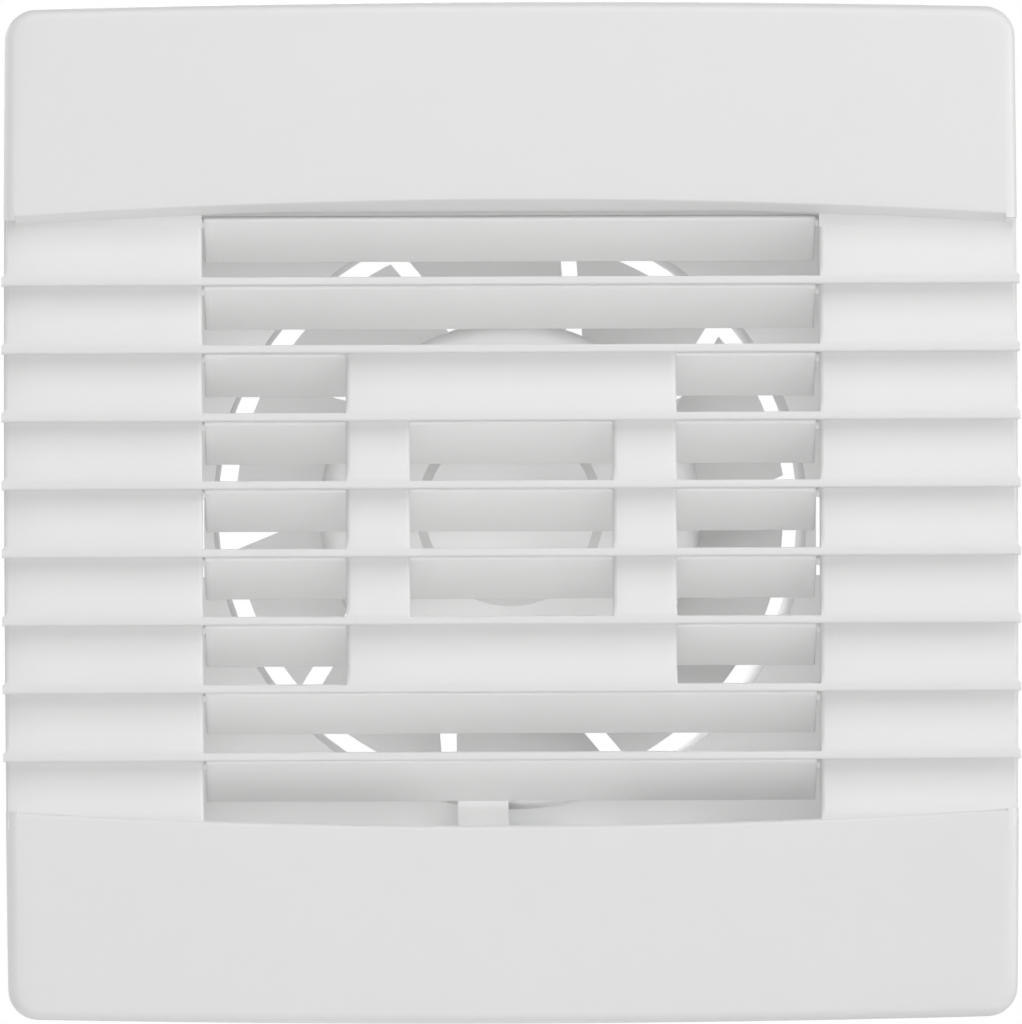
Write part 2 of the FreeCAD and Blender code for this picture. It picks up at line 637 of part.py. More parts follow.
def shaft_spacers():
    """Sleeves on the shaft, one at each end of the rotor."""
    ends = [(14.1, STACK_FRONT), (STACK_BACK, 41.9)]
    return Part.makeCompound([ring(3.3, SHAFT_R, 0, 0, y0, y1) for y0, y1 in ends])


def thrust_washers():
    """Thin washers between the sleeves and the bearings."""
    ends = [(13.2, 14.1), (41.9, 42.8)]
    return Part.makeCompound([ring(3.8, SHAFT_R, 0, 0, y0, y1) for y0, y1 in ends])


def shading_places(turn):
    """The two places where a shading ring goes through the stack."""
    reach = BORE_R + 1.9
    return [(reach * cos(radians(a + turn)), reach * sin(radians(a + turn))) for a in (25, 60)]


def stator_stack():
    """Laminated frame with the rotor bore, an open foot for the coil core, and its holes."""
    stack = box(-STACK_HALF_W, STACK_HALF_W, STACK_FRONT, STACK_BACK, STACK_BOTTOM, STACK_TOP)
    stack = stack.cut(rod(BORE_R, 0, 0, STACK_FRONT - 1, STACK_BACK + 1))
    stack = stack.cut(box(-LIMB_IN, LIMB_IN, STACK_FRONT - 1, STACK_BACK + 1, STACK_BOTTOM - 1, WINDOW_TOP))
    for x in (-BOLT_X, BOLT_X):
        stack = stack.cut(rod(BOLT_R + 0.1, x, 0, STACK_FRONT - 1, STACK_BACK + 1))
    for turn in (0, 180):
        for x, z in shading_places(turn):
            stack = stack.cut(rod(0.85, x, z, STACK_FRONT - 1, STACK_BACK + 1))
    return stack


def coil_core():
    """Laminated bar that carries the coil, pressed between the frame's feet."""
    return box(-LIMB_IN, LIMB_IN, STACK_FRONT, STACK_BACK, STACK_BOTTOM, CORE_TOP)


def shading_rings():
    """Copper rings round one side of each pole."""
    rings = []
    wire_r = 0.8
    front = STACK_FRONT - wire_r
    back = STACK_BACK + wire_r
    for turn in (0, 180):
        (x0, z0), (x1, z1) = shading_places(turn)
        legs = [rod(wire_r, x, z, front, back) for x, z in ((x0, z0), (x1, z1))]
        ties = []
        for y in (front, back):
            run = Vec(x1 - x0, 0, z1 - z0)
            ties.append(Part.makeCylinder(wire_r, run.Length, Vec(x0, y, z0), run))
            ties += [Part.makeSphere(wire_r, Vec(x, y, z)) for x, z in ((x0, z0), (x1, z1))]
        rings.append(fuse(legs + ties))
    return Part.makeCompound(rings)


def coil_block(x_half, build, top_build, corner_r=0.0):
    """Block round the coil core, built out by a distance below, in front and behind, and above."""
    z0 = STACK_BOTTOM - build
    z1 = CORE_TOP + top_build
    block = box(-x_half, x_half, STACK_FRONT - build, STACK_BACK + build, z0, z1)
    if not corner_r:
        return block
    return block.makeFillet(corner_r, [edge for edge in block.Edges if abs(edge.tangentAt(0).x) > 0.9])


def coil_bobbin():
    """Spool on the coil core: a square tube with a flange at each end."""
    tube_build = SPOOL_GAP + SPOOL_WALL
    spool_half = LIMB_IN - SPOOL_GAP
    tube = coil_block(spool_half, tube_build, tube_build)
    flange = coil_block(SPOOL_WALL / 2, FLANGE_BUILD, FLANGE_TOP_BUILD)
    flanges = []
    for x in (SPOOL_WALL / 2 - spool_half, spool_half - SPOOL_WALL / 2):
        flanges.append(flange.translated(Vec(x, 0, 0)))
    return fuse([tube] + flanges).cut(coil_block(LIMB_IN + 1, SPOOL_GAP, SPOOL_GAP))


def coil_winding():
    """Enamelled wire wound on the spool, as one block."""
    inner = SPOOL_GAP + SPOOL_WALL + 0.05
    block = coil_block(LIMB_IN - 1, COIL_BUILD, COIL_TOP_BUILD, COIL_CORNER_R)
    return block.cut(coil_block(LIMB_IN, inner, inner))


def coil_tape():
    """Tape wrapped round the winding."""
    wrap = coil_block(LIMB_IN - 1.6, COIL_BUILD + TAPE_T, COIL_TOP_BUILD + TAPE_T, COIL_CORNER_R + TAPE_T)
    return wrap.cut(coil_block(LIMB_IN, COIL_BUILD, COIL_TOP_BUILD, COIL_CORNER_R))


def thermal_fuse():
    """Overheat cut-out lying on the taped coil."""
    body = cross_rod(1.2, -4.5, 4.5, 42.1, -18.5)
    return body.fuse(cross_rod(0.4, -6.5, 6.5, 42.1, -18.5))


def bracket(plate_y, stack_y, boss_front, boss_back, half_w):
    """Die-cast bridge over one end of the rotor, with two feet and a bearing boss."""
    plate = box(-half_w, half_w, plate_y, plate_y + BRACKET_T, -BRACKET_HALF_H, BRACKET_HALF_H)
    foot = sorted((plate_y + BRACKET_T / 2, stack_y))
    feet = [rod(3.2, x, 0, foot[0], foot[1]) for x in (-BOLT_X, BOLT_X)]
    solids = [plate, rod(BOSS_WALL_R, 0, 0, boss_front, boss_back)] + feet
    body = fuse(solids)
    for x in (-BOLT_X, BOLT_X):
        body = body.cut(rod(BOLT_R + 0.1, x, 0, plate_y - 8, plate_y + 10))
    return body


def front_bracket():
    """Front bearing bracket, inside the hub."""
    body = bracket(FRONT_PLATE_Y, STACK_FRONT, 4.0, 13.0, 16.0)
    body = body.cut(rod(3.0, 0, 0, 3, 6.1)).cut(rod(BUSH_R, 0, 0, 6, 14))
    return body.cut(rod(5.7, 0, 0, 8.5, 14))


def rear_bracket():
    """Rear bearing bracket, with ears for the mounting screws and a closed boss."""
    body = bracket(REAR_PLATE_Y, STACK_BACK, 43.0, 52.5, EAR_X + 5)
    body = body.cut(rod(BUSH_R, 0, 0, 42, 50)).cut(rod(3.0, 0, 0, 42, 51.4))
    body = body.cut(rod(5.7, 0, 0, 42, 47.5))
    for x in (-EAR_X, EAR_X):
        body = body.cut(rod(GROMMET_R, x, 0, 42, 46))
    return body


def bush(y0, y1):
    """Sintered bronze sleeve for the shaft."""
    return ring(BUSH_R, SHAFT_R + BUSH_CLEARANCE, 0, 0, y0, y1)


def front_bearing():
    """Sleeve bearing at the impeller end."""
    return bush(6.1, 12.6)


def rear_bearing():
    """Sleeve bearing at the back end."""
    return bush(43.4, 50.0)


def felt_rings():
    """Oiled felt round each bearing."""
    return Part.makeCompound([ring(5.6, BUSH_R, 0, 0, y0, y1) for y0, y1 in ((8.5, 12.0), (44.0, 47.5))])


def bearing_retainers():
    """Spring washers that hold the felt and the bearing in each boss."""
    return Part.makeCompound([ring(5.7, BUSH_R, 0, 0, y0, y1) for y0, y1 in ((12.0, 12.6), (43.4, 44.0))])


def screw(head_r, head_t, shank_r, x, z, head_y, tip_y):
    """Cross-recess screw whose head faces the room."""
    head = rod(head_r, x, z, head_y, head_y + head_t)
    for turn in (0, 90):
        groove = box(x - head_r * 0.6, x + head_r * 0.6, head_y - 1, head_y + head_t * 0.4, z - 0.3, z + 0.3)
        groove.rotate(Vec(x, 0, z), ALONG_Y, turn)
        head = head.cut(groove)
    return head.fuse(rod(shank_r, x, z, head_y + head_t * 0.9, tip_y))


def bracket_bolts():
    """Long screws that clamp the brackets and the stack together."""
    return Part.makeCompound([screw(2.8, 1.8, BOLT_R, x, 0, 9.2, 48.2) for x in (-BOLT_X, BOLT_X)])


def bracket_nuts():
    """Nuts on the long screws, behind the rear bracket."""
    nuts = []
    for x in (-BOLT_X, BOLT_X):
        corners = []
        for i in range(6):
            turn = radians(60 * i)
            corners.append((x + 3.1 * cos(turn), REAR_PLATE_Y + BRACKET_T, 3.1 * sin(turn)))
        nut = polygon(corners).extrude(Vec(0, 2.4, 0))
        nuts.append(nut.cut(rod(BOLT_R, x, 0, 40, 50)))
    return Part.makeCompound(nuts)


def motor_grommets():
    """Rubber grommets that carry the motor's ears."""
    grommets = []
    front = REAR_PLATE_Y
    back = REAR_PLATE_Y + BRACKET_T
    for x in (-EAR_X, EAR_X):
        solids = [rod(GROMMET_R, x, 0, front, back)]
        lips = (front - GROMMET_LIP, back)
        solids += [rod(GROMMET_R + 1.2, x, 0, y, y + GROMMET_LIP) for y in lips]
        grommets.append(fuse(solids).cut(rod(SHANK_R, x, 0, front - 5, back + 5)))
    return Part.makeCompound(grommets)


def motor_mount_screws():
    """Screws through the grommets into the cup's posts."""
    head_t = 1.8
    head_y = REAR_PLATE_Y - GROMMET_LIP - head_t
    tip_y = CUP_BACK - 3
    return Part.makeCompound([screw(3.0, head_t, SHANK_R, x, 0, head_y, tip_y) for x in (-EAR_X, EAR_X)])


def lead(side):
    """One insulated lead from the coil, down the open arm, along the channel and to the terminals."""
    x = CHANNEL_X + side * LEAD_X
    points = [
        Vec(x, 40.9, -23.0),
        Vec(x, LEAD_BACK_Y, -23.0),
        Vec(x, LEAD_BACK_Y, CHANNEL_Z),
        Vec(x, LEAD_FRONT_Y, CHANNEL_Z),
        Vec(x, LEAD_FRONT_Y, LEAD_TURN_Z),
        Vec(side * TERMINAL_X, LEAD_FRONT_Y, LEAD_TURN_Z - 2.4),
        Vec(side * TERMINAL_X, LEAD_FRONT_Y, TERMINAL_Z + BLOCK_HALF_H - 1),
    ]
    largest_bend = 4.0
    edges = []
    start = points[0]
    for before, corner, after in zip(points, points[1:], points[2:]):
        back = before - corner
        ahead = after - corner
        half_turn = (radians(180) - back.getAngle(ahead)) / 2
        room = 0.45 * min(back.Length, ahead.Length)
        reach = min(room, largest_bend * tan(half_turn))
        back.normalize()
        ahead.normalize()
        enter = corner + back * reach
        leave = corner + ahead * reach
        bisector = back + ahead
        bisector.normalize()
        bend_r = reach / tan(half_turn)
        middle = corner + bisector * (hypot(reach, bend_r) - bend_r)
        edges.append(Part.makeLine(start, enter))
        edges.append(Part.Arc(enter, middle, leave).toShape())
        start = leave
    edges.append(Part.makeLine(start, points[-1]))
    path = Part.Wire(edges)
    section = Part.Wire(Part.makeCircle(LEAD_R, points[0], points[1] - points[0]))
    return path.makePipeShell([section], True, False)


def live_lead():
    """Lead to the live terminal."""
    return lead(-1)


def neutral_lead():
    """Lead to the neutral terminal."""
    return lead(1)


def terminal_block():
    """Two-way terminal block on its pad."""
    low = TERMINAL_Z - BLOCK_HALF_H
    high = TERMINAL_Z + BLOCK_HALF_H
    block = box(-BLOCK_HALF_W, BLOCK_HALF_W, BLOCK_FRONT, BLOCK_BACK, low, high)
    fence = BLOCK_HALF_H - 2.8
    block = block.fuse(box(-1, 1, BLOCK_FRONT - 1, BLOCK_FRONT, low, TERMINAL_Z - fence))
    block = block.fuse(box(-1, 1, BLOCK_FRONT - 1, BLOCK_FRONT, TERMINAL_Z + fence, high))
    for x in (-TERMINAL_X, TERMINAL_X):
        block = block.cut(Part.makeCylinder(WAY_R, high - low + 2, Vec(x, LEAD_FRONT_Y, low - 1), ALONG_Z))
        for z in (TERMINAL_Z - WAY_PITCH, TERMINAL_Z + WAY_PITCH):
            block = block.cut(rod(1.7, x, z, BLOCK_FRONT - 1, LEAD_FRONT_Y))
    return block.cut(rod(SHANK_R, 0, TERMINAL_Z, BLOCK_FRONT - 2, BLOCK_BACK + 1))


def terminal_inserts():
    """Brass sleeves in the block that the wires go into."""
    inserts = []
    half = BLOCK_HALF_H - 1
    low = TERMINAL_Z - half
    for x in (-TERMINAL_X, TERMINAL_X):
        sleeve = Part.makeCylinder(WAY_R, 2 * half, Vec(x, LEAD_FRONT_Y, low), ALONG_Z)
        sleeve = sleeve.cut(Part.makeCylinder(1.3, 2 * half + 2, Vec(x, LEAD_FRONT_Y, low - 1), ALONG_Z))
        for z in (TERMINAL_Z - WAY_PITCH, TERMINAL_Z + WAY_PITCH):
            sleeve = sleeve.cut(rod(1.0, x, z, BLOCK_FRONT - 1, LEAD_FRONT_Y))
        inserts.append(sleeve)
    return Part.makeCompound(inserts)


def terminal_screws():
    """Clamping screws in the brass sleeves."""
    screws = []
    for x in (-TERMINAL_X, TERMINAL_X):
        for z in (TERMINAL_Z - WAY_PITCH, TERMINAL_Z + WAY_PITCH):
            head_y = BLOCK_FRONT + 0.8
            head = rod(1.55, x, z, head_y, head_y + 1.6)
            head = head.cut(box(x - 2, x + 2, head_y - 0.2, head_y + 0.6, z - 0.25, z + 0.25))
            screws.append(head.fuse(rod(1.0, x, z, head_y + 1.5, head_y + 2.8)))
    return Part.makeCompound(screws)


def terminal_block_screw():
    """Screw that holds the block on its pad."""
    return screw(2.2, 1.6, SHANK_R, 0, TERMINAL_Z, BLOCK_FRONT - 1.6, PILOT_BOTTOM - 0.5)


def terminal_cover():
    """Lid over the terminals, with ways for the leads and the supply cable, and a screw tab."""
    z0 = TERMINAL_Z + LID_BOTTOM
    z1 = TERMINAL_Z + LID_TOP
    inner = LID_HALF_W - LID_WALL
    lid = box(-LID_HALF_W, LID_HALF_W, LID_FRONT, -BASE_T, z0, z1)
    lid = lid.cut(box(-inner, inner, LID_FRONT + LID_WALL, 0, z0 + LID_WALL, z1 - LID_WALL))
    way_y = LEAD_FRONT_Y - 3
    way_half = TERMINAL_X + 2.6
    lid = lid.cut(box(-way_half, way_half, way_y, 0, z1 - 2, z1 + 1))
    lid = lid.cut(box(inner - 1, LID_HALF_W + 1, way_y, 0, TERMINAL_Z - 5, TERMINAL_Z + 5))
    tab_half = 3.5
    tab_y = BLOCK_BACK - 1.6
    tab_end = LID_SCREW_X - tab_half - 0.2
    tab = box(tab_end, 0.5 - LID_HALF_W, tab_y, BLOCK_BACK, TERMINAL_Z - tab_half, TERMINAL_Z + tab_half)
    gap = box(-LID_HALF_W - 0.5, 0.3 - inner, BLOCK_BACK, 0, TERMINAL_Z - 4, TERMINAL_Z + 4)
    lid = lid.fuse(tab).cut(gap)
    return lid.cut(rod(SHANK_R, LID_SCREW_X, TERMINAL_Z, tab_y - 1, BLOCK_BACK + 1)).removeSplitter()


def terminal_cover_screw():
    """Screw in the lid's tab."""
    head_t = 1.6
    return screw(2.6, head_t, PILOT_R, LID_SCREW_X, TERMINAL_Z, BLOCK_BACK - 2 * head_t, PILOT_BOTTOM - 0.5)


def cable_grommet():
    """Rubber bush in the base plate for the supply cable."""
    body = rod(CABLE_HOLE_R, CABLE_X, TERMINAL_Z, -BASE_T, 0)
    body = body.fuse(rod(CABLE_HOLE_R + 1.6, CABLE_X, TERMINAL_Z, -BASE_T - 1.8, -BASE_T))
    return body.cut(rod(CABLE_R, CABLE_X, TERMINAL_Z, -6, 1)).removeSplitter()


def cable_clamp():
    """Bar that grips the supply cable inside."""
    half_w = 2.5
    half_h = CLAMP_SCREW_Z + 3
    bar = box(CLAMP_X - half_w, CLAMP_X + half_w, CLAMP_SEAT - 2.5, CLAMP_SEAT, TERMINAL_Z - half_h,
              TERMINAL_Z + half_h)
    for z in (TERMINAL_Z - CLAMP_SCREW_Z, TERMINAL_Z + CLAMP_SCREW_Z):
        bar = bar.cut(rod(SHANK_R, CLAMP_X, z, CLAMP_SEAT - 4, CLAMP_SEAT + 1))
    hollow_r = CABLE_R + 0.9
    hollow_y = CLAMP_SEAT + 3.2
    return bar.cut(Part.makeCylinder(hollow_r, 8, Vec(CLAMP_X - 4, hollow_y, TERMINAL_Z), ALONG_X))


def cable_clamp_screws():
    """Screws of the cable clamp."""
    head_t = 1.7
    head_y = CLAMP_SEAT - 2.5 - head_t
    places = (TERMINAL_Z - CLAMP_SCREW_Z, TERMINAL_Z + CLAMP_SCREW_Z)
    return Part.makeCompound([screw(2.4, head_t, PILOT_R, CLAMP_X, z, head_y, -BASE_T) for z in places])


PIECES = [
    front_grille, shutter_link, fan_body, lead_channel_cover,
    impeller, impeller_clip, motor_shaft, rotor_core, rotor_end_rings, shaft_spacers, thrust_washers,
    stator_stack, coil_core, shading_rings, coil_bobbin, coil_winding, coil_tape, thermal_fuse,
    front_bracket, rear_bracket, front_bearing, rear_bearing, felt_rings, bearing_retainers,
    bracket_bolts, bracket_nuts, motor_grommets, motor_mount_screws, live_lead, neutral_lead,
    terminal_block, terminal_inserts, terminal_screws, terminal_block_screw, terminal_cover,
    terminal_cover_screw, cable_grommet, cable_clamp, cable_clamp_screws,
]

os.makedirs("parts", exist_ok=True)
shapes = {piece.__name__: piece() for piece in PIECES}
for number, z in enumerate(PIVOT_Z, 1):
    shapes["shutter_blade_%d" % number] = shutter_blade(z)
for name, shape in shapes.items():
    print(name, "valid" if shape.isValid() else "INVALID", len(shape.Solids), round(shape.Volume, 1))
    shape.exportStep("parts/%s.step" % name)
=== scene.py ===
import json
from math import atan2, radians

import bmesh
import bpy
import numpy as np
from mathutils import Matrix, Vector

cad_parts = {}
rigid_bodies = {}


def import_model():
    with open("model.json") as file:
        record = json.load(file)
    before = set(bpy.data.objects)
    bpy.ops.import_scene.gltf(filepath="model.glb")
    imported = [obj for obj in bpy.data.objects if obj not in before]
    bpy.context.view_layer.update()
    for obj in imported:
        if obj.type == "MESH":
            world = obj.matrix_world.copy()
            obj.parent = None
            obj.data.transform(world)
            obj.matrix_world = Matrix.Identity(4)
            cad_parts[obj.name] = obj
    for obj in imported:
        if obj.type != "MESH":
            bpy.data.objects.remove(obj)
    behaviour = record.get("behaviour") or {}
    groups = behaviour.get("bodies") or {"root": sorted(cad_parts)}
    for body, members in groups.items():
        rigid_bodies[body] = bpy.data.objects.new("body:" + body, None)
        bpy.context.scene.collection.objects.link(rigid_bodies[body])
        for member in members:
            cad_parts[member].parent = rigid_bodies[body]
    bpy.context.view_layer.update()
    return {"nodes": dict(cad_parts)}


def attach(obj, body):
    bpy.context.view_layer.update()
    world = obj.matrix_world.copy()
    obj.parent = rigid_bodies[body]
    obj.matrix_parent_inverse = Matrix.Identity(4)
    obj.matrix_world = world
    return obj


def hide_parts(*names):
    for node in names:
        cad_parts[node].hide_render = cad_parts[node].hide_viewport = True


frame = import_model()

nodes = frame["nodes"]

# Camera: a long lens almost square to the grille, a little left of its middle and a little above.
# The picture is 1022 by 1024, so the sensor's 36 mm lie along its height.
SENSOR = 36.0
PICTURE_HEIGHT = 0.1612
EYE_DISTANCE = 1.8
FRONT_PLANE = -0.030
CAMERA_ROLL = radians(-0.2)
eye = Vector((-0.015, FRONT_PLANE - EYE_DISTANCE, 0.006))
target = Vector((-0.00008, FRONT_PLANE, 0.00015))
camera = bpy.data.objects.new("camera", bpy.data.cameras.new("camera"))
camera.data.sensor_width = SENSOR
camera.data.lens = SENSOR * EYE_DISTANCE / PICTURE_HEIGHT
turn = (target - eye).to_track_quat("-Z", "Y").to_matrix().to_4x4()
camera.matrix_world = Matrix.Translation(eye) @ turn @ Matrix.Rotation(CAMERA_ROLL, 4, "Z")
bpy.context.scene.collection.objects.link(camera)
bpy.context.scene.camera = camera
bpy.context.scene.view_settings.view_transform = "Standard"


class Value:
    """One output of a node tree. Sums and products of these add Math nodes."""

    def __init__(self, tree, socket=None):
        self.tree = tree
        self.socket = socket

    def make(self, kind, settings, inputs, output=0):
        """Adds a node: its settings first, then a number, colour or link for each input."""
        node = self.tree.nodes.new(kind)
        for name, setting in settings.items():
            setattr(node, name, setting)
        for name, value in inputs.items():
            if isinstance(value, Value):
                self.tree.links.new(value.socket, node.inputs[name])
            else:
                node.inputs[name].default_value = value
        return Value(self.tree, node.outputs[output] if len(node.outputs) else None)

    def maths(self, operation, first, second):
        """Adds a Math node on two values or numbers."""
        return self.make("ShaderNodeMath", {"operation": operation}, {0: first, 1: second})

    def __add__(self, other):
        return self.maths("ADD", self, other)

    def __sub__(self, other):
        return self.maths("SUBTRACT", self, other)

    def __mul__(self, other):
        return self.maths("MULTIPLY", self, other)

    __radd__ = __add__
    __rmul__ = __mul__


# Studio: a light tent with soft lamps in front, above, at both sides and behind. The world is white
# where the lens or a mirror sees it, and a dim grey where it lights the fan. White plastic lets light
# through and scatters it inside the fan, and three lamps without shadows stand in for that.
TENT_LIGHT = 0.05
WHITE = (1.0, 1.0, 1.0, 1.0)


def seen(start):
    """1 on a ray from the lens, from a mirror or through glass, and 0 on one that only lights."""
    found = 0.0
    for ray in ("Is Camera Ray", "Is Glossy Ray", "Is Transmission Ray"):
        found = start.maths("MAXIMUM", start.make("ShaderNodeLightPath", {}, {}, ray), found)
    return found


world = bpy.data.worlds.new("light_tent")
bpy.context.scene.world = world
world.use_nodes = True
world.node_tree.nodes.clear()
tent = Value(world.node_tree)
strength = seen(tent) * (1.0 - TENT_LIGHT) + TENT_LIGHT
sky = tent.make("ShaderNodeBackground", {}, {"Color": WHITE, "Strength": strength})
tent.make("ShaderNodeOutputWorld", {}, {"Surface": sky})


def soft_lamp(name, place, size, power, shadow=True):
    """Square lamp at a place, turned to the fan's middle."""
    lamp = bpy.data.objects.new(name, bpy.data.lights.new(name, "AREA"))
    lamp.data.shape = "SQUARE"
    lamp.data.size = size
    lamp.data.energy = power
    lamp.data.use_shadow = shadow
    lamp.data.cycles.use_multiple_importance_sampling = shadow
    lamp.visible_camera = False
    towards = Vector((0.0, 0.0, 0.0)) - Vector(place)
    facing = towards.to_track_quat("-Z", "Y").to_matrix().to_4x4()
    lamp.matrix_world = Matrix.Translation(place) @ facing
    bpy.context.scene.collection.objects.link(lamp)
    return lamp


soft_lamp("fill_lamp", (0.00, -2.10, -1.10), 1.60, 6.6, shadow=False)
inner_lamp = soft_lamp("inner_lamp", (0.00, -2.20, -0.70), 1.60, 9.4, shadow=False)
blade_lamp = soft_lamp("blade_lamp", (0.00, -1.30, -1.90), 1.60, 6.8, shadow=False)
soft_lamp("front_lamp", (0.00, -1.40, -0.12), 0.60, 2.0)
soft_lamp("key_lamp", (0.85, -1.30, 0.15), 0.40, 1.9)
soft_lamp("top_lamp", (0.06, -0.56, 0.67), 0.80, 4.4)
soft_lamp("back_lamp", (-0.40, 1.20, 0.50), 0.80, 7.5)
soft_lamp("left_lamp", (-1.20, 0.35, 0.35), 0.60, 5.0)
soft_lamp("right_lamp", (1.20, -0.30, 0.15), 0.50, 3.8)

# Floor: a pale round board 25 mm under the fan. Near the fan it is matt white paper, and further out it
# fades into the white of the tent.
FLOOR_Z = -0.105
FLOOR_R = 0.85
FLOOR_SIDES = 96
FADE_START = 0.14
FADE_END = 0.42
PAPER_WHITE = (0.92, 0.92, 0.92, 1.0)
around = np.linspace(0.0, 2 * np.pi, FLOOR_SIDES, endpoint=False)
level = np.full(FLOOR_SIDES, FLOOR_Z)
border = np.stack([FLOOR_R * np.cos(around), FLOOR_R * np.sin(around), level], axis=1)
floor_mesh = bpy.data.meshes.new("floor")
floor_mesh.from_pydata(border.tolist(), [], [list(range(FLOOR_SIDES))])
floor = bpy.data.objects.new("floor", floor_mesh)
bpy.context.scene.collection.objects.link(floor)
paper = bpy.data.materials.new("white_paper")
paper.use_nodes = True
paper.node_tree.nodes.clear()
sheet = Value(paper.node_tree)
place = sheet.make("ShaderNodeTexCoord", {}, {}, "Object")
away = sheet.make("ShaderNodeVectorMath", {"operation": "LENGTH"}, {0: place}, "Value")
fade = sheet.make("ShaderNodeMapRange", {"interpolation_type": "SMOOTHSTEP"},
                  {"Value": away, "From Min": FADE_START, "From Max": FADE_END})
matt = sheet.make("ShaderNodeBsdfDiffuse", {}, {"Color": PAPER_WHITE})
glow = sheet.make("ShaderNodeEmission", {}, {"Color": WHITE, "Strength": 1.0})
mixed = sheet.make("ShaderNodeMixShader", {}, {0: fade * seen(sheet), 1: matt, 2: glow})
sheet.make("ShaderNodeOutputMaterial", {}, {"Surface": mixed})
floor_mesh.materials.append(paper)


# Fan body: one white injection moulding with the base plate, duct spigot, motor cup and arms. Its
# surface is the fine spark-eroded texture of the mould, with faint clouding from the flow of plastic.
def finish(name, colour, roughness, bump, settings):
    """Material from a base colour, a roughness and a height in metres, with fixed shader settings."""
    material = bpy.data.materials.new(name)
    material.use_nodes = True
    tree = material.node_tree
    tree.nodes.clear()
    start = Value(tree)
    where = start.make("ShaderNodeTexCoord", {}, {}, "Object")
    relief = {"Strength": 1.0, "Distance": 1.0}
    sockets = dict(settings)
    sockets["Base Color"] = colour(where)
    sockets["Roughness"] = roughness(where)
    sockets["Normal"] = start.make("ShaderNodeBump", {}, {"Height": bump(where), **relief})
    shader = start.make("ShaderNodeBsdfPrincipled", {}, sockets)
    start.make("ShaderNodeOutputMaterial", {}, {"Surface": shader})
    return material


def grain(where, scale, detail=3.0):
    """Noise about its middle value, from -0.5 to 0.5, with scale features to the metre."""
    noise = where.make("ShaderNodeTexNoise", {}, {"Vector": where, "Scale": scale, "Detail": detail})
    return noise - 0.5


def tinted(where, low, high, amount):
    """Colour between two shades by an amount from 0 to 1. Inputs 0, 6 and 7 of the node are its factor
    and its two colours, and output 2 is the colour."""
    inputs = {0: amount, 6: (*low, 1.0), 7: (*high, 1.0)}
    return where.make("ShaderNodeMix", {"data_type": "RGBA"}, inputs, 2)


PALER = 1.012
DULLER = 0.985
CLOUDS_TO_THE_METRE = 26.0
PEBBLES_TO_THE_METRE = 2600.0
SINK_MARK = 4e-6


def moulded(name, shade, roughness, texture):
    """White moulded plastic: clouding 40 mm wide, a fine pebble grain on shallow sink marks, and a
    slightly uneven gloss."""
    pale = tuple(tone * PALER for tone in shade)
    dull = tuple(tone * DULLER for tone in shade)
    return finish(
        name,
        lambda where: tinted(where, dull, pale, grain(where, CLOUDS_TO_THE_METRE) + 0.5),
        lambda where: roughness + 0.10 * grain(where, 60.0) + 0.05 * grain(where, 1500.0),
        lambda where: (texture * grain(where, PEBBLES_TO_THE_METRE, 2.0)
                       + SINK_MARK * grain(where, 45.0, 1.0)),
        {"Specular IOR Level": 0.4},
    )


def dress(material, *names):
    """Puts a material on CAD nodes."""
    for name in names:
        nodes[name].data.materials.clear()
        nodes[name].data.materials.append(material)


# Painted light: this white is set lighter than the grille's, which is the same plastic, to brighten the
# inside of the fan.
body_plastic = moulded("body_plastic", (0.89, 0.89, 0.887), 0.46, 9e-6)
dress(body_plastic, "fan_body", "lead_channel_cover", "terminal_cover", "cable_clamp")

# Motor iron: stator frame, coil core and rotor are stacks of electrical steel sheet half a millimetre
# thick, riveted and varnished, so fine lines run round them across the motor's axis.
SHEETS_TO_THE_METRE = 2000.0
CRESTS_AT_SCALE_ONE = 20.0 / (2 * np.pi)


def ripple(where, direction, crests, waver):
    """Sine from 0 to 1 along one axis, with a number of crests to the metre and a waver in its phase."""
    return where.make("ShaderNodeTexWave", {"bands_direction": direction, "wave_profile": "SIN"},
                      {"Vector": where, "Scale": crests / CRESTS_AT_SCALE_ONE, "Distortion": waver})


def stacked_sheets(where):
    """Height of the sheet edges: a ripple along the motor's axis, which is Y."""
    return ripple(where, "Y", SHEETS_TO_THE_METRE, 0.0)


lamination = finish(
    "lamination",
    lambda where: tinted(where, (0.16, 0.16, 0.17), (0.30, 0.30, 0.31),
                         0.6 * stacked_sheets(where) + 0.6 * (grain(where, 300.0) + 0.3)),
    lambda where: 0.42 + 0.3 * grain(where, 500.0),
    lambda where: 5e-5 * stacked_sheets(where),
    {"Metallic": 0.8},
)
dress(lamination, "stator_stack", "coil_core", "rotor_core")


# Bare metals of the motor: turned steel shaft, pressed spring steel, cast aluminium brackets and cage,
# copper shading rings, sintered bronze sleeves and zinc-plated screws.
def bare_metal(name, dark, light, roughness, scale, relief):
    """Metal between two shades: grain at a scale to the metre, with a relief in metres."""
    return finish(
        name,
        lambda where: tinted(where, dark, light, grain(where, scale) + 0.5),
        lambda where: roughness + 0.25 * grain(where, scale * 1.7),
        lambda where: relief * grain(where, scale * 2.5),
        {"Metallic": 1.0},
    )


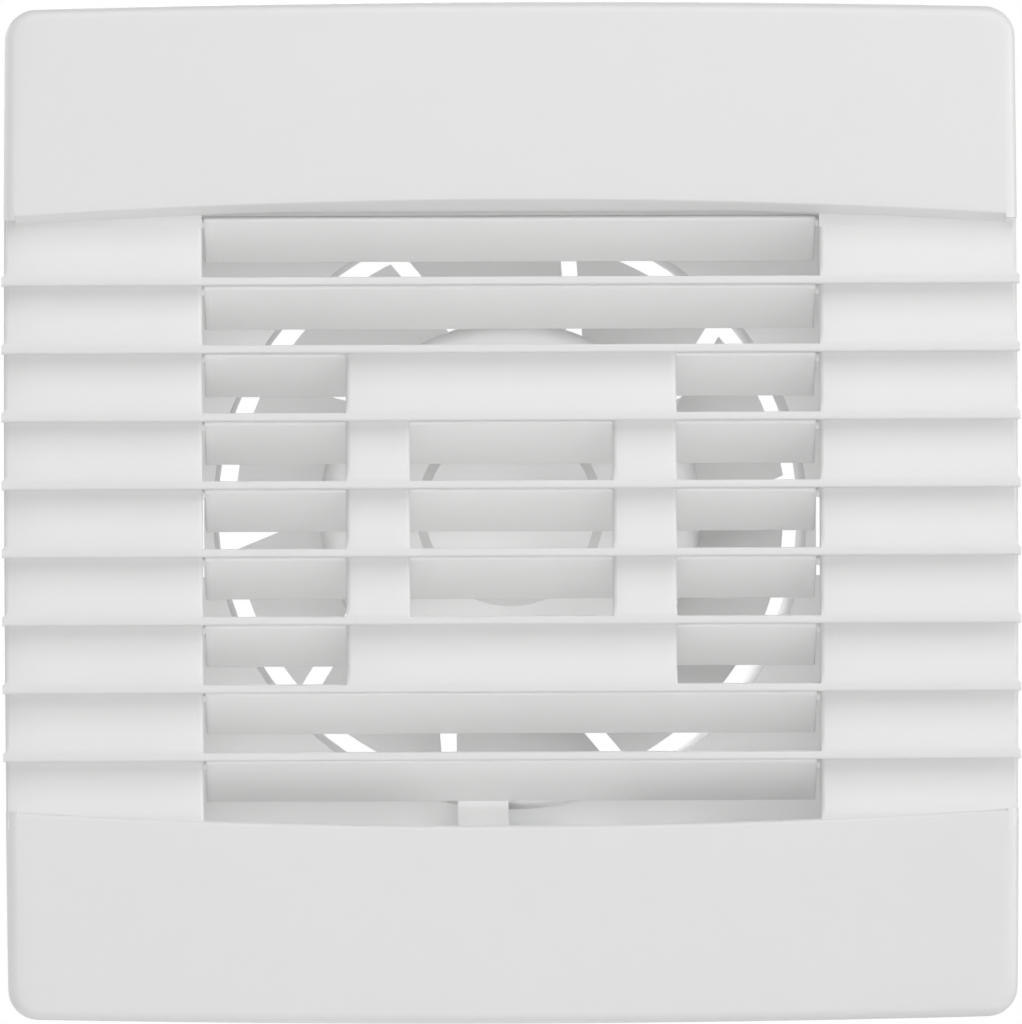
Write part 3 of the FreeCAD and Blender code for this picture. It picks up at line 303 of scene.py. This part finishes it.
dress(bare_metal("ground_steel", (0.52, 0.52, 0.53), (0.62, 0.62, 0.63), 0.22, 900.0, 2e-6),
      "motor_shaft", "shaft_spacers")
dress(bare_metal("spring_steel", (0.36, 0.37, 0.39), (0.48, 0.49, 0.51), 0.32, 700.0, 4e-6),
      "impeller_clip", "bearing_retainers")
dress(bare_metal("cast_aluminium", (0.52, 0.52, 0.52), (0.68, 0.68, 0.67), 0.50, 1100.0, 4e-5),
      "front_bracket", "rear_bracket", "rotor_end_rings")
dress(bare_metal("copper", (0.55, 0.25, 0.13), (0.72, 0.36, 0.20), 0.30, 500.0, 6e-6), "shading_rings")
dress(bare_metal("bronze", (0.42, 0.27, 0.12), (0.58, 0.40, 0.20), 0.48, 2600.0, 2e-5),
      "front_bearing", "rear_bearing")
dress(bare_metal("zinc_steel", (0.56, 0.58, 0.60), (0.68, 0.70, 0.71), 0.30, 800.0, 5e-6),
      "bracket_bolts", "bracket_nuts", "motor_mount_screws", "terminal_screws", "terminal_block_screw",
      "terminal_cover_screw", "cable_clamp_screws")
dress(bare_metal("brass", (0.62, 0.46, 0.18), (0.76, 0.60, 0.28), 0.28, 700.0, 5e-6), "terminal_inserts")


# Coil: enamelled copper wire 0.3 mm thick wound on a nylon spool, wrapped in yellow tape, with a small
# white-bodied thermal fuse tied on. Its turns lie side by side along the core. Their colour is painted
# darker in the grooves between turns and lighter on the crests: painted shade and painted highlight.
TURNS_TO_THE_METRE = 3300.0


def turns_relief_and_painted_shade(where):
    """Height of the wound turns, which also sets the painted shade in the grooves and the painted
    highlight on the crests: a ripple along the coil's axis, which is X.
    """
    return ripple(where, "X", TURNS_TO_THE_METRE, 0.3)


winding = finish(
    "enamelled_wire",
    # Painted shade in the grooves between turns and painted highlight on their crests.
    lambda where: tinted(where, (0.30, 0.09, 0.03), (0.66, 0.27, 0.11), turns_relief_and_painted_shade(where)),
    lambda where: 0.28 + 0.2 * grain(where, 900.0),
    lambda where: 1.2e-4 * turns_relief_and_painted_shade(where),
    {"Metallic": 0.7},
)
dress(winding, "coil_winding")


def soft_stuff(name, dark, light, roughness, scale, relief):
    """Plastic, rubber, felt or tape between two shades, with a grain and relief of its own."""
    return finish(
        name,
        lambda where: tinted(where, dark, light, grain(where, scale) + 0.5),
        lambda where: roughness + 0.2 * grain(where, scale * 0.6),
        lambda where: relief * grain(where, scale * 2.0),
        {"Specular IOR Level": 0.4},
    )


dress(soft_stuff("nylon", (0.72, 0.70, 0.63), (0.80, 0.78, 0.72), 0.42, 400.0, 1e-5), "coil_bobbin")
dress(soft_stuff("tape", (0.70, 0.52, 0.10), (0.82, 0.64, 0.18), 0.30, 250.0, 3e-5), "coil_tape")
dress(soft_stuff("fuse_body", (0.70, 0.70, 0.68), (0.80, 0.80, 0.78), 0.35, 500.0, 8e-6), "thermal_fuse")
dress(soft_stuff("felt", (0.40, 0.37, 0.31), (0.62, 0.58, 0.50), 0.95, 1800.0, 1.2e-4), "felt_rings")
dress(soft_stuff("fibre", (0.34, 0.15, 0.08), (0.46, 0.22, 0.12), 0.70, 900.0, 2e-5), "thrust_washers")
dress(soft_stuff("grey_rubber", (0.10, 0.10, 0.11), (0.15, 0.15, 0.16), 0.75, 700.0, 2e-5),
      "motor_grommets", "cable_grommet")
dress(soft_stuff("brown_insulation", (0.20, 0.09, 0.04), (0.27, 0.13, 0.06), 0.45, 500.0, 8e-6),
      "live_lead")
dress(soft_stuff("blue_insulation", (0.03, 0.12, 0.36), (0.05, 0.17, 0.46), 0.45, 500.0, 8e-6),
      "neutral_lead")
dress(soft_stuff("terminal_plastic", (0.60, 0.60, 0.57), (0.68, 0.68, 0.65), 0.40, 500.0, 8e-6),
      "terminal_block")

# Impeller: one white moulding of hub and ten vanes, a little glossier than the body so that dust slides
# off, pressed on the shaft with a spring clip.
# Painted light: this white is set lighter than the grille's, which is the same plastic, to brighten the
# impeller deep inside the fan.
impeller_plastic = moulded("impeller_plastic", (0.89, 0.89, 0.887), 0.38, 6e-6)
dress(impeller_plastic, "impeller")


# Shutter blades: nine thin white mouldings, each a flat plate with a slim round crest over its pivot,
# with a raised rib at each end, a pin that snaps into the cheek on either side, and a crank for the
# link on the right.
def closed_skin(rings):
    """Points and faces of a tube over rings of points: quads join each ring to the next, and a flat
    face closes each end."""
    count, around = rings.shape[:2]
    ids = np.arange(count * around).reshape(count, around)
    ahead = np.roll(ids, -1, axis=1)
    quads = np.stack([ids[:-1], ahead[:-1], ahead[1:], ids[1:]], axis=2).reshape(-1, 4)
    return rings.reshape(-1, 3), quads.tolist() + [ids[0].tolist(), ids[-1].tolist()]


MILLIMETRE = 0.001
MERGE_GAP = 1e-7
SHARP_ANGLE = radians(38)


def piece(name, shells, body, slot, material, *stands_for):
    """One object from closed shells in millimetres, with its normals turned outwards."""
    points = np.concatenate([shell[0] for shell in shells]) * MILLIMETRE
    starts = np.cumsum([0] + [len(shell[0]) for shell in shells])
    faces = [[start + i for i in face] for start, shell in zip(starts, shells) for face in shell[1]]
    mesh = bpy.data.meshes.new(name)
    mesh.from_pydata(points.tolist(), [], faces)
    work = bmesh.new()
    work.from_mesh(mesh)
    bmesh.ops.remove_doubles(work, verts=work.verts, dist=MERGE_GAP)
    bmesh.ops.recalc_face_normals(work, faces=work.faces)
    work.to_mesh(mesh)
    work.free()
    mesh.shade_smooth()
    mesh.set_sharp_from_angle(angle=SHARP_ANGLE)
    mesh.materials.append(material)
    made = bpy.data.objects.new(name, mesh)
    bpy.context.scene.collection.objects.link(made)
    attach(made, body)
    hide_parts(*stands_for)


def round_bar(x0, x1, y, z, radius, edge):
    """Round bar along X with softened ends: a circle whose radius falls off by a quarter circle."""
    turn = np.linspace(0.0, np.pi / 2, 4)
    fall = edge * (1 - np.sin(turn))
    along = np.concatenate([x0 + edge * (1 - np.cos(turn)), x1 - edge * (1 - np.cos(turn))[::-1]])
    radii = radius - np.concatenate([fall, fall[::-1]])
    angle = np.linspace(0.0, 2 * np.pi, 20, endpoint=False)
    rings = np.empty((len(along), len(angle), 3))
    rings[:, :, 0] = along[:, None]
    rings[:, :, 1] = y + radii[:, None] * np.cos(angle)
    rings[:, :, 2] = z + radii[:, None] * np.sin(angle)
    return closed_skin(rings)


BLADE_COUNT = 9
TOP_PIVOT = 46.0
PITCH = 10.7
PIVOT_Y = -24.4
OPEN_ANGLE = radians(59.0)
BLADE_ENDS = (-48.4, 48.2)
CHORD = 11.5
PLATE_HALF = 0.44
PLATE_START = -0.8
SIDE_STOP = 0.5
ROOT_EXTRA = 0.03
EXTRA_FADE = 0.7
TIP_R = 0.45
CREST_CHORD = -0.9
CREST_R = 0.5
CREST_SWEEP = radians(95.0)
PIN_R = 0.9
PIN_EDGE = 0.25
PIN_LAP = 0.05
PIN_END = -50.75
CRANK_X = (51.35, 52.65)
CRANK_ANGLE = radians(25.0)
CRANK_REACH = 5.0
CRANK_HALF = 1.15
CRANK_EDGE = 0.2
CRANK_FACE = 0.85
LENGTH_DRAW = 0.35
CRANK_PIN_R = 0.7
CRANK_PIN_EDGE = 0.2
CRANK_PIN_INSET = 0.1
CRANK_PIN_END = 54.55


def blade_plate(pivot_z):
    """Blade: a section in chord and thickness, carried along X. The section is a round crest, two sides
    that come a little closer down the chord, by an exponential, and a round tip. Near each end the
    plate swells into the rib, and the last 0.4 mm rounds off."""
    crest = np.linspace(-CREST_SWEEP, CREST_SWEEP, 14)
    tip = np.linspace(-np.pi / 2, np.pi / 2, 7)
    side = np.linspace(PLATE_START, CHORD - SIDE_STOP, 12)
    half = PLATE_HALF + ROOT_EXTRA * np.exp(-EXTRA_FADE * side)
    chord = np.concatenate([CREST_CHORD - CREST_R * np.cos(crest), side,
                            CHORD - TIP_R + TIP_R * np.cos(tip), side[::-1]])
    thick = np.concatenate([-CREST_R * np.sin(crest), -half, PLATE_HALF * np.sin(tip), half[::-1]])
    inwards = np.array([0.0, 0.08, 0.22, 0.42, 0.9, 1.05, 1.25, 4.0])
    swell = np.array([0.55, 0.9, 1.06, 1.14, 1.14, 1.08, 1.0, 1.0])
    along = np.concatenate([BLADE_ENDS[0] + inwards, BLADE_ENDS[1] - inwards[::-1]])
    swell = np.concatenate([swell, swell[::-1]])[:, None]
    in_plate = np.arange(len(chord)) >= len(crest)
    depth = thick * np.where(in_plate, swell, np.minimum(swell, 1.0))
    rings = np.empty((len(along), len(chord), 3))
    rings[:, :, 0] = along[:, None]
    rings[:, :, 1] = PIVOT_Y + chord * np.sin(OPEN_ANGLE) + depth * np.cos(OPEN_ANGLE)
    rings[:, :, 2] = pivot_z - chord * np.cos(OPEN_ANGLE) + depth * np.sin(OPEN_ANGLE)
    return closed_skin(rings)


def crank_arm(pivot_z):
    """Crank: a flat oval link from the pivot to its pin, drawn in a little at both faces. The oval is
    two half circles whose centres lie half the reach to either side of its middle."""
    turn = np.linspace(0.0, 2 * np.pi, 28, endpoint=False)
    middle = CRANK_REACH / 2
    shrink = np.array([CRANK_FACE, 1.0, 1.0, CRANK_FACE])[:, None]
    length = middle * np.sign(np.cos(turn)) + CRANK_HALF * np.cos(turn)
    reach = middle + length * (1 - (1 - shrink) * LENGTH_DRAW)
    across = CRANK_HALF * np.sin(turn) * shrink
    along = np.array([CRANK_X[0], CRANK_X[0] + CRANK_EDGE, CRANK_X[1] - CRANK_EDGE, CRANK_X[1]])
    rings = np.empty((len(along), len(turn), 3))
    rings[:, :, 0] = along[:, None]
    rings[:, :, 1] = PIVOT_Y + reach * np.cos(CRANK_ANGLE) - across * np.sin(CRANK_ANGLE)
    rings[:, :, 2] = pivot_z + reach * np.sin(CRANK_ANGLE) + across * np.cos(CRANK_ANGLE)
    return closed_skin(rings)


# Painted light: this white is set lighter than the grille's and the body's, which are the same plastic,
# to offset the shade on the recessed blades.
shutter_plastic = moulded("shutter_plastic", (0.91, 0.91, 0.907), 0.40, 6e-6)
for number in range(1, BLADE_COUNT + 1):
    pivot_z = TOP_PIVOT - PITCH * (number - 1)
    pin_y = PIVOT_Y + CRANK_REACH * np.cos(CRANK_ANGLE)
    pin_z = pivot_z + CRANK_REACH * np.sin(CRANK_ANGLE)
    shells = [
        blade_plate(pivot_z),
        round_bar(PIN_END, BLADE_ENDS[0] + PIN_LAP, PIVOT_Y, pivot_z, PIN_R, PIN_EDGE),
        round_bar(BLADE_ENDS[1] - PIN_LAP, CRANK_X[1], PIVOT_Y, pivot_z, PIN_R, PIN_EDGE),
        crank_arm(pivot_z),
        round_bar(CRANK_X[0] + CRANK_PIN_INSET, CRANK_PIN_END, pin_y, pin_z, CRANK_PIN_R,
                  CRANK_PIN_EDGE),
    ]
    piece("shutter_%d" % number, shells, "shutter_%d" % number, "shutter_plastic", shutter_plastic,
          "shutter_blade_%d" % number)
dress(shutter_plastic, "shutter_link")


# Front grille: one white plastic moulding that snaps on the body with two hooks. Two plain panels meet
# clapboard wings on the left and right, eight lips cross it, and a square ring of filled bands stands
# before the motor.
FRONT_Y = -30.0
RIM_MID_Y = -14.0
RIM_BACK_Y = -0.4
RIM_LAP = 0.9
RIM_COLUMNS_Y = (-26.0, -13.0, RIM_BACK_Y)
RIM_END_OUT = 0.32
RIM_END_TOP = (46.3, 47.7)
RIM_END_BOTTOM = (-47.7, -46.7)
HALF_W = 79.5
HALF_H = 79.5
SIDE_BOW = 0.5
TOP_BOW = 0.98
CORNER_R = 4.6
WALL = 2.0
BACK_STEP = 0.08
BACK_GAP = 0.02
EDGE_R = 1.8
EDGE_OUT = 0.3
LIP_UNDER_PIVOT = 9.4
LIPS = TOP_PIVOT - LIP_UNDER_PIVOT - PITCH * np.arange(BLADE_COUNT - 1)
LIP_T = 1.3
LIP_DEPTH = 4.2
LIP_EDGE_R = 0.35
LIP_BAR_GAP = 0.004
LIP_BAR_LAP = 0.02
LAST_LIP_SETBACK = 0.45
RECESS = 2.5
UNDER_LIP_DEPTH = np.array([1.2, RECESS - 0.15])
UNDER_LIP_DROP = np.array([0.03, 0.06])
ARCH_MID = 49.3
ARCH_DROP = 2.5
ARCH_SPAN = 79.0
ARCH_LEAST_FALL = 1.2
OPENING_HALF = 48.65
RING_HALF = 26.05
RING_SETBACK = 0.03
WINDOW_HALF = 16.0
BAND_EDGE = 0.8
WING_EDGE = 0.45
WING_INSET = 0.35
LIP_REACH = 0.6
CHEEK_X = (49.3, 51.05)
CHEEK_Y = (-26.3, -21.3)
CHEEK_Z = (-50.9, 48.0)
SILL_Y = (-28.5, -23.7)
SILL_Z = (CHEEK_Z[0], -49.7)
TIE_X = (OPENING_HALF, 78.5)
TIE_Y = (-27.55, -25.8)
TIE_Z = (44.9, 51.2)
TIE_EDGE = 0.1
HOOK_X = (56.0, 57.6)
HOOK_Y = (-26.3, -3.0)
HOOK_Z = (-7.2, 0.6)
BARB_X = (57.5, 58.9)
BARB_Y = (-9.0, -3.2)


def thick_sheet(front, back):
    """Points and faces of a closed sheet between two grids of points: both faces and four borders."""
    rows, columns = front.shape[:2]
    ids = np.arange(rows * columns).reshape(rows, columns)
    under = ids + rows * columns
    quads = []
    for grid in (ids, under):
        corners = [grid[:-1, :-1], grid[:-1, 1:], grid[1:, 1:], grid[1:, :-1]]
        quads.append(np.stack(corners, axis=2).reshape(-1, 4))
    for side in (np.s_[0], np.s_[-1], np.s_[:, 0], np.s_[:, -1]):
        edge, below = ids[side], under[side]
        quads.append(np.stack([edge[:-1], edge[1:], below[1:], below[:-1]], axis=1))
    return np.concatenate([front.reshape(-1, 3), back.reshape(-1, 3)]), np.concatenate(quads).tolist()


def bowed(x, z):
    """Bows a square outwards: each side moves out by its bow times one minus the square of the place
    along it."""
    return (x + np.sign(x) * SIDE_BOW * np.clip(np.abs(x) / HALF_W, 0, 1) * (1 - (z / HALF_H) ** 2),
            z + np.sign(z) * TOP_BOW * np.clip(np.abs(z) / HALF_H, 0, 1) * (1 - (x / HALF_W) ** 2))


def arch(x):
    """Height of the panels' arched edges over the middle line: a parabola."""
    return ARCH_MID - ARCH_DROP * (x / ARCH_SPAN) ** 2


def panel(side, edge_rows, low_edge):
    """Plain panel with its rim. Along it runs the outline, up one side, over the top and down the
    other; across it the section goes up the rim, round the front edge, over the flat front to the
    arched edge and in by the edge rows of drop, share of the way to the low edge, and depth. The back
    follows a wall thickness inside."""
    corner_x = HALF_W - CORNER_R
    corner_z = HALF_H - CORNER_R
    quarter = np.linspace(0.0, np.pi / 2, 9)
    straight = np.linspace(arch(HALF_W) + RIM_LAP, corner_z, 8)[:-1]
    over = np.linspace(corner_x, -corner_x, 33)[1:-1]
    rise, turn, run = len(straight), len(quarter), len(over)
    centre_x = np.concatenate([np.full(rise + turn, corner_x), over, np.full(turn + rise, -corner_x)])
    centre_z = np.concatenate([straight, np.full(turn + run + turn, corner_z), straight[::-1]])
    angle = np.concatenate([np.zeros(rise), quarter, np.full(run, np.pi / 2), np.pi / 2 + quarter,
                            np.full(rise, np.pi)])
    edge_x = np.linspace(HALF_W + EDGE_OUT - EDGE_R, EDGE_R - HALF_W - EDGE_OUT, len(angle))
    edge_z = arch(edge_x)
    fall = edge_z - np.minimum(low_edge, edge_z - ARCH_LEAST_FALL)

    def offset(inset):
        """Outline drawn in by an inset."""
        radius = CORNER_R - inset
        return bowed(centre_x + radius * np.cos(angle), centre_z + radius * np.sin(angle))

    front_rows = [(*offset(0.0), RIM_BACK_Y), (*offset(0.0), RIM_MID_Y)]
    back_rows = [(*offset(WALL), RIM_BACK_Y), (*offset(WALL), RIM_MID_Y)]
    bends = np.linspace(0.0, np.pi / 2, 7)
    for step, bend in enumerate(bends):
        front_rows.append((*offset(EDGE_R * (1 - np.cos(bend))), FRONT_Y + EDGE_R * (1 - np.sin(bend))))
        back_rows.append((*offset(WALL + BACK_STEP * step), FRONT_Y + WALL))
    start_z = edge_z - edge_rows[0][0]
    flat_x, flat_z = offset(EDGE_R)
    inner_x, inner_z = offset(WALL + BACK_STEP * (len(bends) - 1))
    for share in np.linspace(0.0, 1.0, 7)[1:-1]:
        for rows, x, z, y in ((front_rows, flat_x, flat_z, FRONT_Y),
                              (back_rows, inner_x, inner_z, FRONT_Y + WALL)):
            rows.append((x + (edge_x - x) * share, z + (start_z - z) * share, y))
    for drop, share, depth in edge_rows:
        back_y = FRONT_Y + max(WALL, depth) + BACK_GAP
        front_rows.append((edge_x, edge_z - drop - share * fall, FRONT_Y + depth))
        back_rows.append((edge_x, edge_z - min(drop, 0.0) - share * fall, back_y))
    grids = []
    for rows in (front_rows, back_rows):
        grid = np.empty((len(rows), len(angle), 3))
        for row, (x, z, y) in enumerate(rows):
            grid[row, :, 0] = x
            grid[row, :, 1] = y
            grid[row, :, 2] = side * z
        grids.append(grid)
    return thick_sheet(*grids)


def band_profile(lips):
    """Depth, height, edge share and lip share down a run of bands. Each band starts under a lip at the
    full recess, curves forwards on a circle that stands upright at its top, ends in the next lip's flat
    nose, and turns back under it."""
    top = lips[:-1] - LIP_T / 2
    bottom = lips[1:] + LIP_T / 2
    rise = top[0] - bottom[0]
    bend_r = (RECESS ** 2 + rise ** 2) / (2 * RECESS)
    sweep = np.linspace(0.0, 1.0, 15) * atan2(rise, bend_r - RECESS)
    nose = np.linspace(0.0, np.pi / 2, 5)
    depth = np.concatenate([RECESS - bend_r * (1 - np.cos(sweep)), LIP_EDGE_R * (1 - np.cos(nose)),
                            UNDER_LIP_DEPTH])
    drop = np.concatenate([bend_r * np.sin(sweep), rise + LIP_T - LIP_EDGE_R + LIP_EDGE_R * np.sin(nose),
                           rise + LIP_T + UNDER_LIP_DROP])
    to_lip = [0.85, 0.6, 0.3, 0.0]
    under_lip = [0.5, 1.0]
    softened = np.concatenate([np.ones(len(sweep) - len(to_lip)), to_lip, np.zeros(len(nose)),
                               under_lip])
    is_lip = np.concatenate([np.zeros(len(sweep) - 1), np.ones(len(nose) + 2), [0.0]])
    runs = len(lips) - 1
    height = (top[:, None] - drop[None, :]).reshape(-1)
    return np.tile(depth, runs), height, np.tile(softened, runs), np.tile(is_lip, runs)


def clapboard(profile, x_in, x_out, edge_in, edge_out, setback=0.0):
    """Filled bands between two upright ends, from a profile of depth, height and edge share. Columns run
    from x_in to x_out, crowded at the ends, where the front falls back round a quarter circle, less so
    on the lips."""
    depth, height, softened = profile
    quarter = np.linspace(np.pi / 2, 0.0, 6)
    fall_in = edge_in * (1 - np.cos(quarter))
    fall_out = edge_out * (1 - np.cos(quarter))[::-1]
    near = edge_in * (1 - np.sin(quarter))
    far = edge_out * (1 - np.sin(quarter))[::-1]
    span = np.array([0.2, 0.4, 0.6, 0.8])
    x_out = np.broadcast_to(x_out, height.shape)
    x = np.concatenate([x_in + np.broadcast_to(near, (len(height), len(near))),
                        x_in + edge_in + (x_out - x_in - edge_in - edge_out)[:, None] * span,
                        x_out[:, None] - far], axis=1)
    fall = np.concatenate([fall_in, np.zeros(len(span)), fall_out])
    front = np.empty((*x.shape, 3))
    front[:, :, 0] = x
    front[:, :, 1] = FRONT_Y + depth[:, None] + softened[:, None] * fall + setback
    front[:, :, 2] = height[:, None]
    back = front.copy()
    back[:, :, 1] = FRONT_Y + LIP_DEPTH
    return thick_sheet(front, back)


def mirrored(shell):
    """The same shell on the other side."""
    return shell[0] * np.array([-1.0, 1.0, 1.0]), shell[1]


def soft_block(x, y, z, edge=0.3):
    """Block with soft edges: a rounded rectangle in X and Y carried up Z, drawn in at both ends."""
    corner = np.linspace(0.0, np.pi / 2, 4)
    turns = np.concatenate([corner + i * np.pi / 2 for i in range(4)])
    centre_x = np.repeat([x[1] - edge, x[0] + edge, x[0] + edge, x[1] - edge], 4)
    centre_y = np.repeat([y[1] - edge, y[1] - edge, y[0] + edge, y[0] + edge], 4)
    radius = np.array([0.3, 0.75, 1.0, 1.0, 0.75, 0.3]) * edge
    level = np.array([z[0], z[0] + 0.25 * edge, z[0] + edge, z[1] - edge, z[1] - 0.25 * edge, z[1]])
    rings = np.empty((len(level), len(turns), 3))
    rings[:, :, 0] = centre_x + radius[:, None] * np.cos(turns)
    rings[:, :, 1] = centre_y + radius[:, None] * np.sin(turns)
    rings[:, :, 2] = level[:, None]
    return closed_skin(rings)


def rim_end(z0, z1):
    """Last bit of a panel's rim beside the arched edge: a quarter round on a straight wall, carried
    up Z."""
    turn = np.linspace(0.0, np.pi / 2, 7)
    flat_x = HALF_W + RIM_END_OUT - EDGE_R
    across = np.append(flat_x + EDGE_R * np.sin(turn), [flat_x + EDGE_R, flat_x])
    rings = np.empty((2, len(across), 3))
    rings[:, :, 0] = across
    rings[:, :, 1] = np.append(FRONT_Y + EDGE_R * (1 - np.cos(turn)), [RIM_MID_Y, RIM_MID_Y])
    rings[:, :, 2] = np.array([z0, z1])[:, None]
    return closed_skin(rings)


def lip_bar(z):
    """Lip across the opening: a flat bar with a round nose, carried along X, a hair thinner than the
    lips of the wings."""
    nose = np.linspace(0.0, np.pi / 2, 5)
    half = LIP_T / 2 - LIP_BAR_GAP
    depth = np.concatenate([LIP_EDGE_R * (1 - np.sin(nose)), LIP_EDGE_R * (1 - np.cos(nose)),
                            [LIP_DEPTH, LIP_DEPTH]])
    height = np.concatenate([half - LIP_EDGE_R + LIP_EDGE_R * np.cos(nose),
                             LIP_EDGE_R - half - LIP_EDGE_R * np.sin(nose), [-half, half]])
    rings = np.empty((2, len(depth), 3))
    rings[:, :, 0] = np.array([-OPENING_HALF - LIP_BAR_LAP, OPENING_HALF + LIP_BAR_LAP])[:, None]
    rings[:, :, 1] = FRONT_Y + LIP_BAR_GAP + depth
    rings[:, :, 2] = z + height
    return closed_skin(rings)


grille_plastic = moulded("grille_plastic", (0.84, 0.84, 0.837), 0.36, 5e-6)
TOP_EDGE = [(-0.3, 0, 0), (-0.12, 0, 0.04), (0.02, 0, 0.16), (0, 0.33, 0.9), (0, 0.66, 1.6), (0, 1, 2.3),
            (0.03, 1, 2.6)]
BOTTOM_EDGE = [(-0.75, 0, 0), (-0.5, 0, 0.05), (-0.28, 0, 0.16), (-0.1, 0, 0.34), (0, 0, 0.6),
               (0.02, 0, 1.2), (0.04, 0, 1.9)]
TOP_EDGE_Z = 47.6
BOTTOM_EDGE_Z = 47.12
wing_lips = np.concatenate([[LIPS[0] + PITCH], LIPS, [LIPS[-1] - PITCH]])
wing_depth, wing_z, wing_softened, wing_lip = band_profile(wing_lips)
last_band = wing_z < LIPS[-1] - LIP_T
wing_depth = np.where(last_band, np.maximum(wing_depth, LAST_LIP_SETBACK), wing_depth)
wing_outer = bowed(np.full(len(wing_z), HALF_W), wing_z)[0] - WING_INSET
wing_outer += LIP_REACH * np.where(last_band, 0.0, wing_lip)
wing = clapboard((wing_depth, wing_z, wing_softened), OPENING_HALF, wing_outer, BAND_EDGE, WING_EDGE)


def ring_bands(lips, x_in):
    """Filled bands of the ring from an inner end to its outer edge."""
    return clapboard(band_profile(lips)[:3], x_in, RING_HALF, BAND_EDGE, BAND_EDGE, RING_SETBACK)


ring_top = ring_bands(LIPS[1:3], -RING_HALF)
ring_side = ring_bands(LIPS[2:6], WINDOW_HALF)
ring_bottom = ring_bands(LIPS[5:7], -RING_HALF)
rim_z = np.linspace(-1.0, 1.0, 9) * (arch(HALF_W) + RIM_LAP)
rim_out = bowed(np.full(len(rim_z), HALF_W), rim_z)[0]
rim_columns = [np.stack([rim_out, np.full(len(rim_z), y), rim_z], axis=1)
               for y in RIM_COLUMNS_Y]
rim_front = np.stack(rim_columns, axis=1)
side_wall = thick_sheet(rim_front, rim_front - np.array([WALL, 0.0, 0.0]))
cheek = soft_block(CHEEK_X, CHEEK_Y, CHEEK_Z)
sill = soft_block((-CHEEK_X[1], CHEEK_X[1]), SILL_Y, SILL_Z)
tie = soft_block(TIE_X, TIE_Y, TIE_Z, TIE_EDGE)
top_end = rim_end(*RIM_END_TOP)
bottom_end = rim_end(*RIM_END_BOTTOM)
hook_leg = soft_block(HOOK_X, HOOK_Y, HOOK_Z)
barb_ends = [[[BARB_X[0], BARB_Y[0], z], [BARB_X[1], BARB_Y[0], z], [BARB_X[0], BARB_Y[1], z]]
             for z in HOOK_Z]
barb = closed_skin(np.array(barb_ends))
top_panel = panel(1.0, TOP_EDGE, TOP_EDGE_Z)
bottom_panel = panel(-1.0, BOTTOM_EDGE, BOTTOM_EDGE_Z)
shells = [top_panel, bottom_panel, ring_top, ring_bottom, sill]
for shell in (wing, ring_side, side_wall, cheek, tie, top_end, bottom_end, hook_leg, barb):
    shells += [shell, mirrored(shell)]
shells += [lip_bar(z) for z in LIPS]
piece("grille_moulding", shells, "housing", "grille_plastic", grille_plastic, "front_grille")

# Two of the lamps without shadows light only what lies behind the grille: one the shutter blades, from
# below, and one the rest.
blades = bpy.data.collections.new("blades")
inside = bpy.data.collections.new("inside")
for part in bpy.context.scene.objects:
    if part.type == "MESH" and part.name.startswith("shutter_"):
        blades.objects.link(part)
    elif part.type == "MESH" and part.name not in ("grille_moulding", "floor"):
        inside.objects.link(part)
blade_lamp.light_linking.receiver_collection = blades
inner_lamp.light_linking.receiver_collection = inside
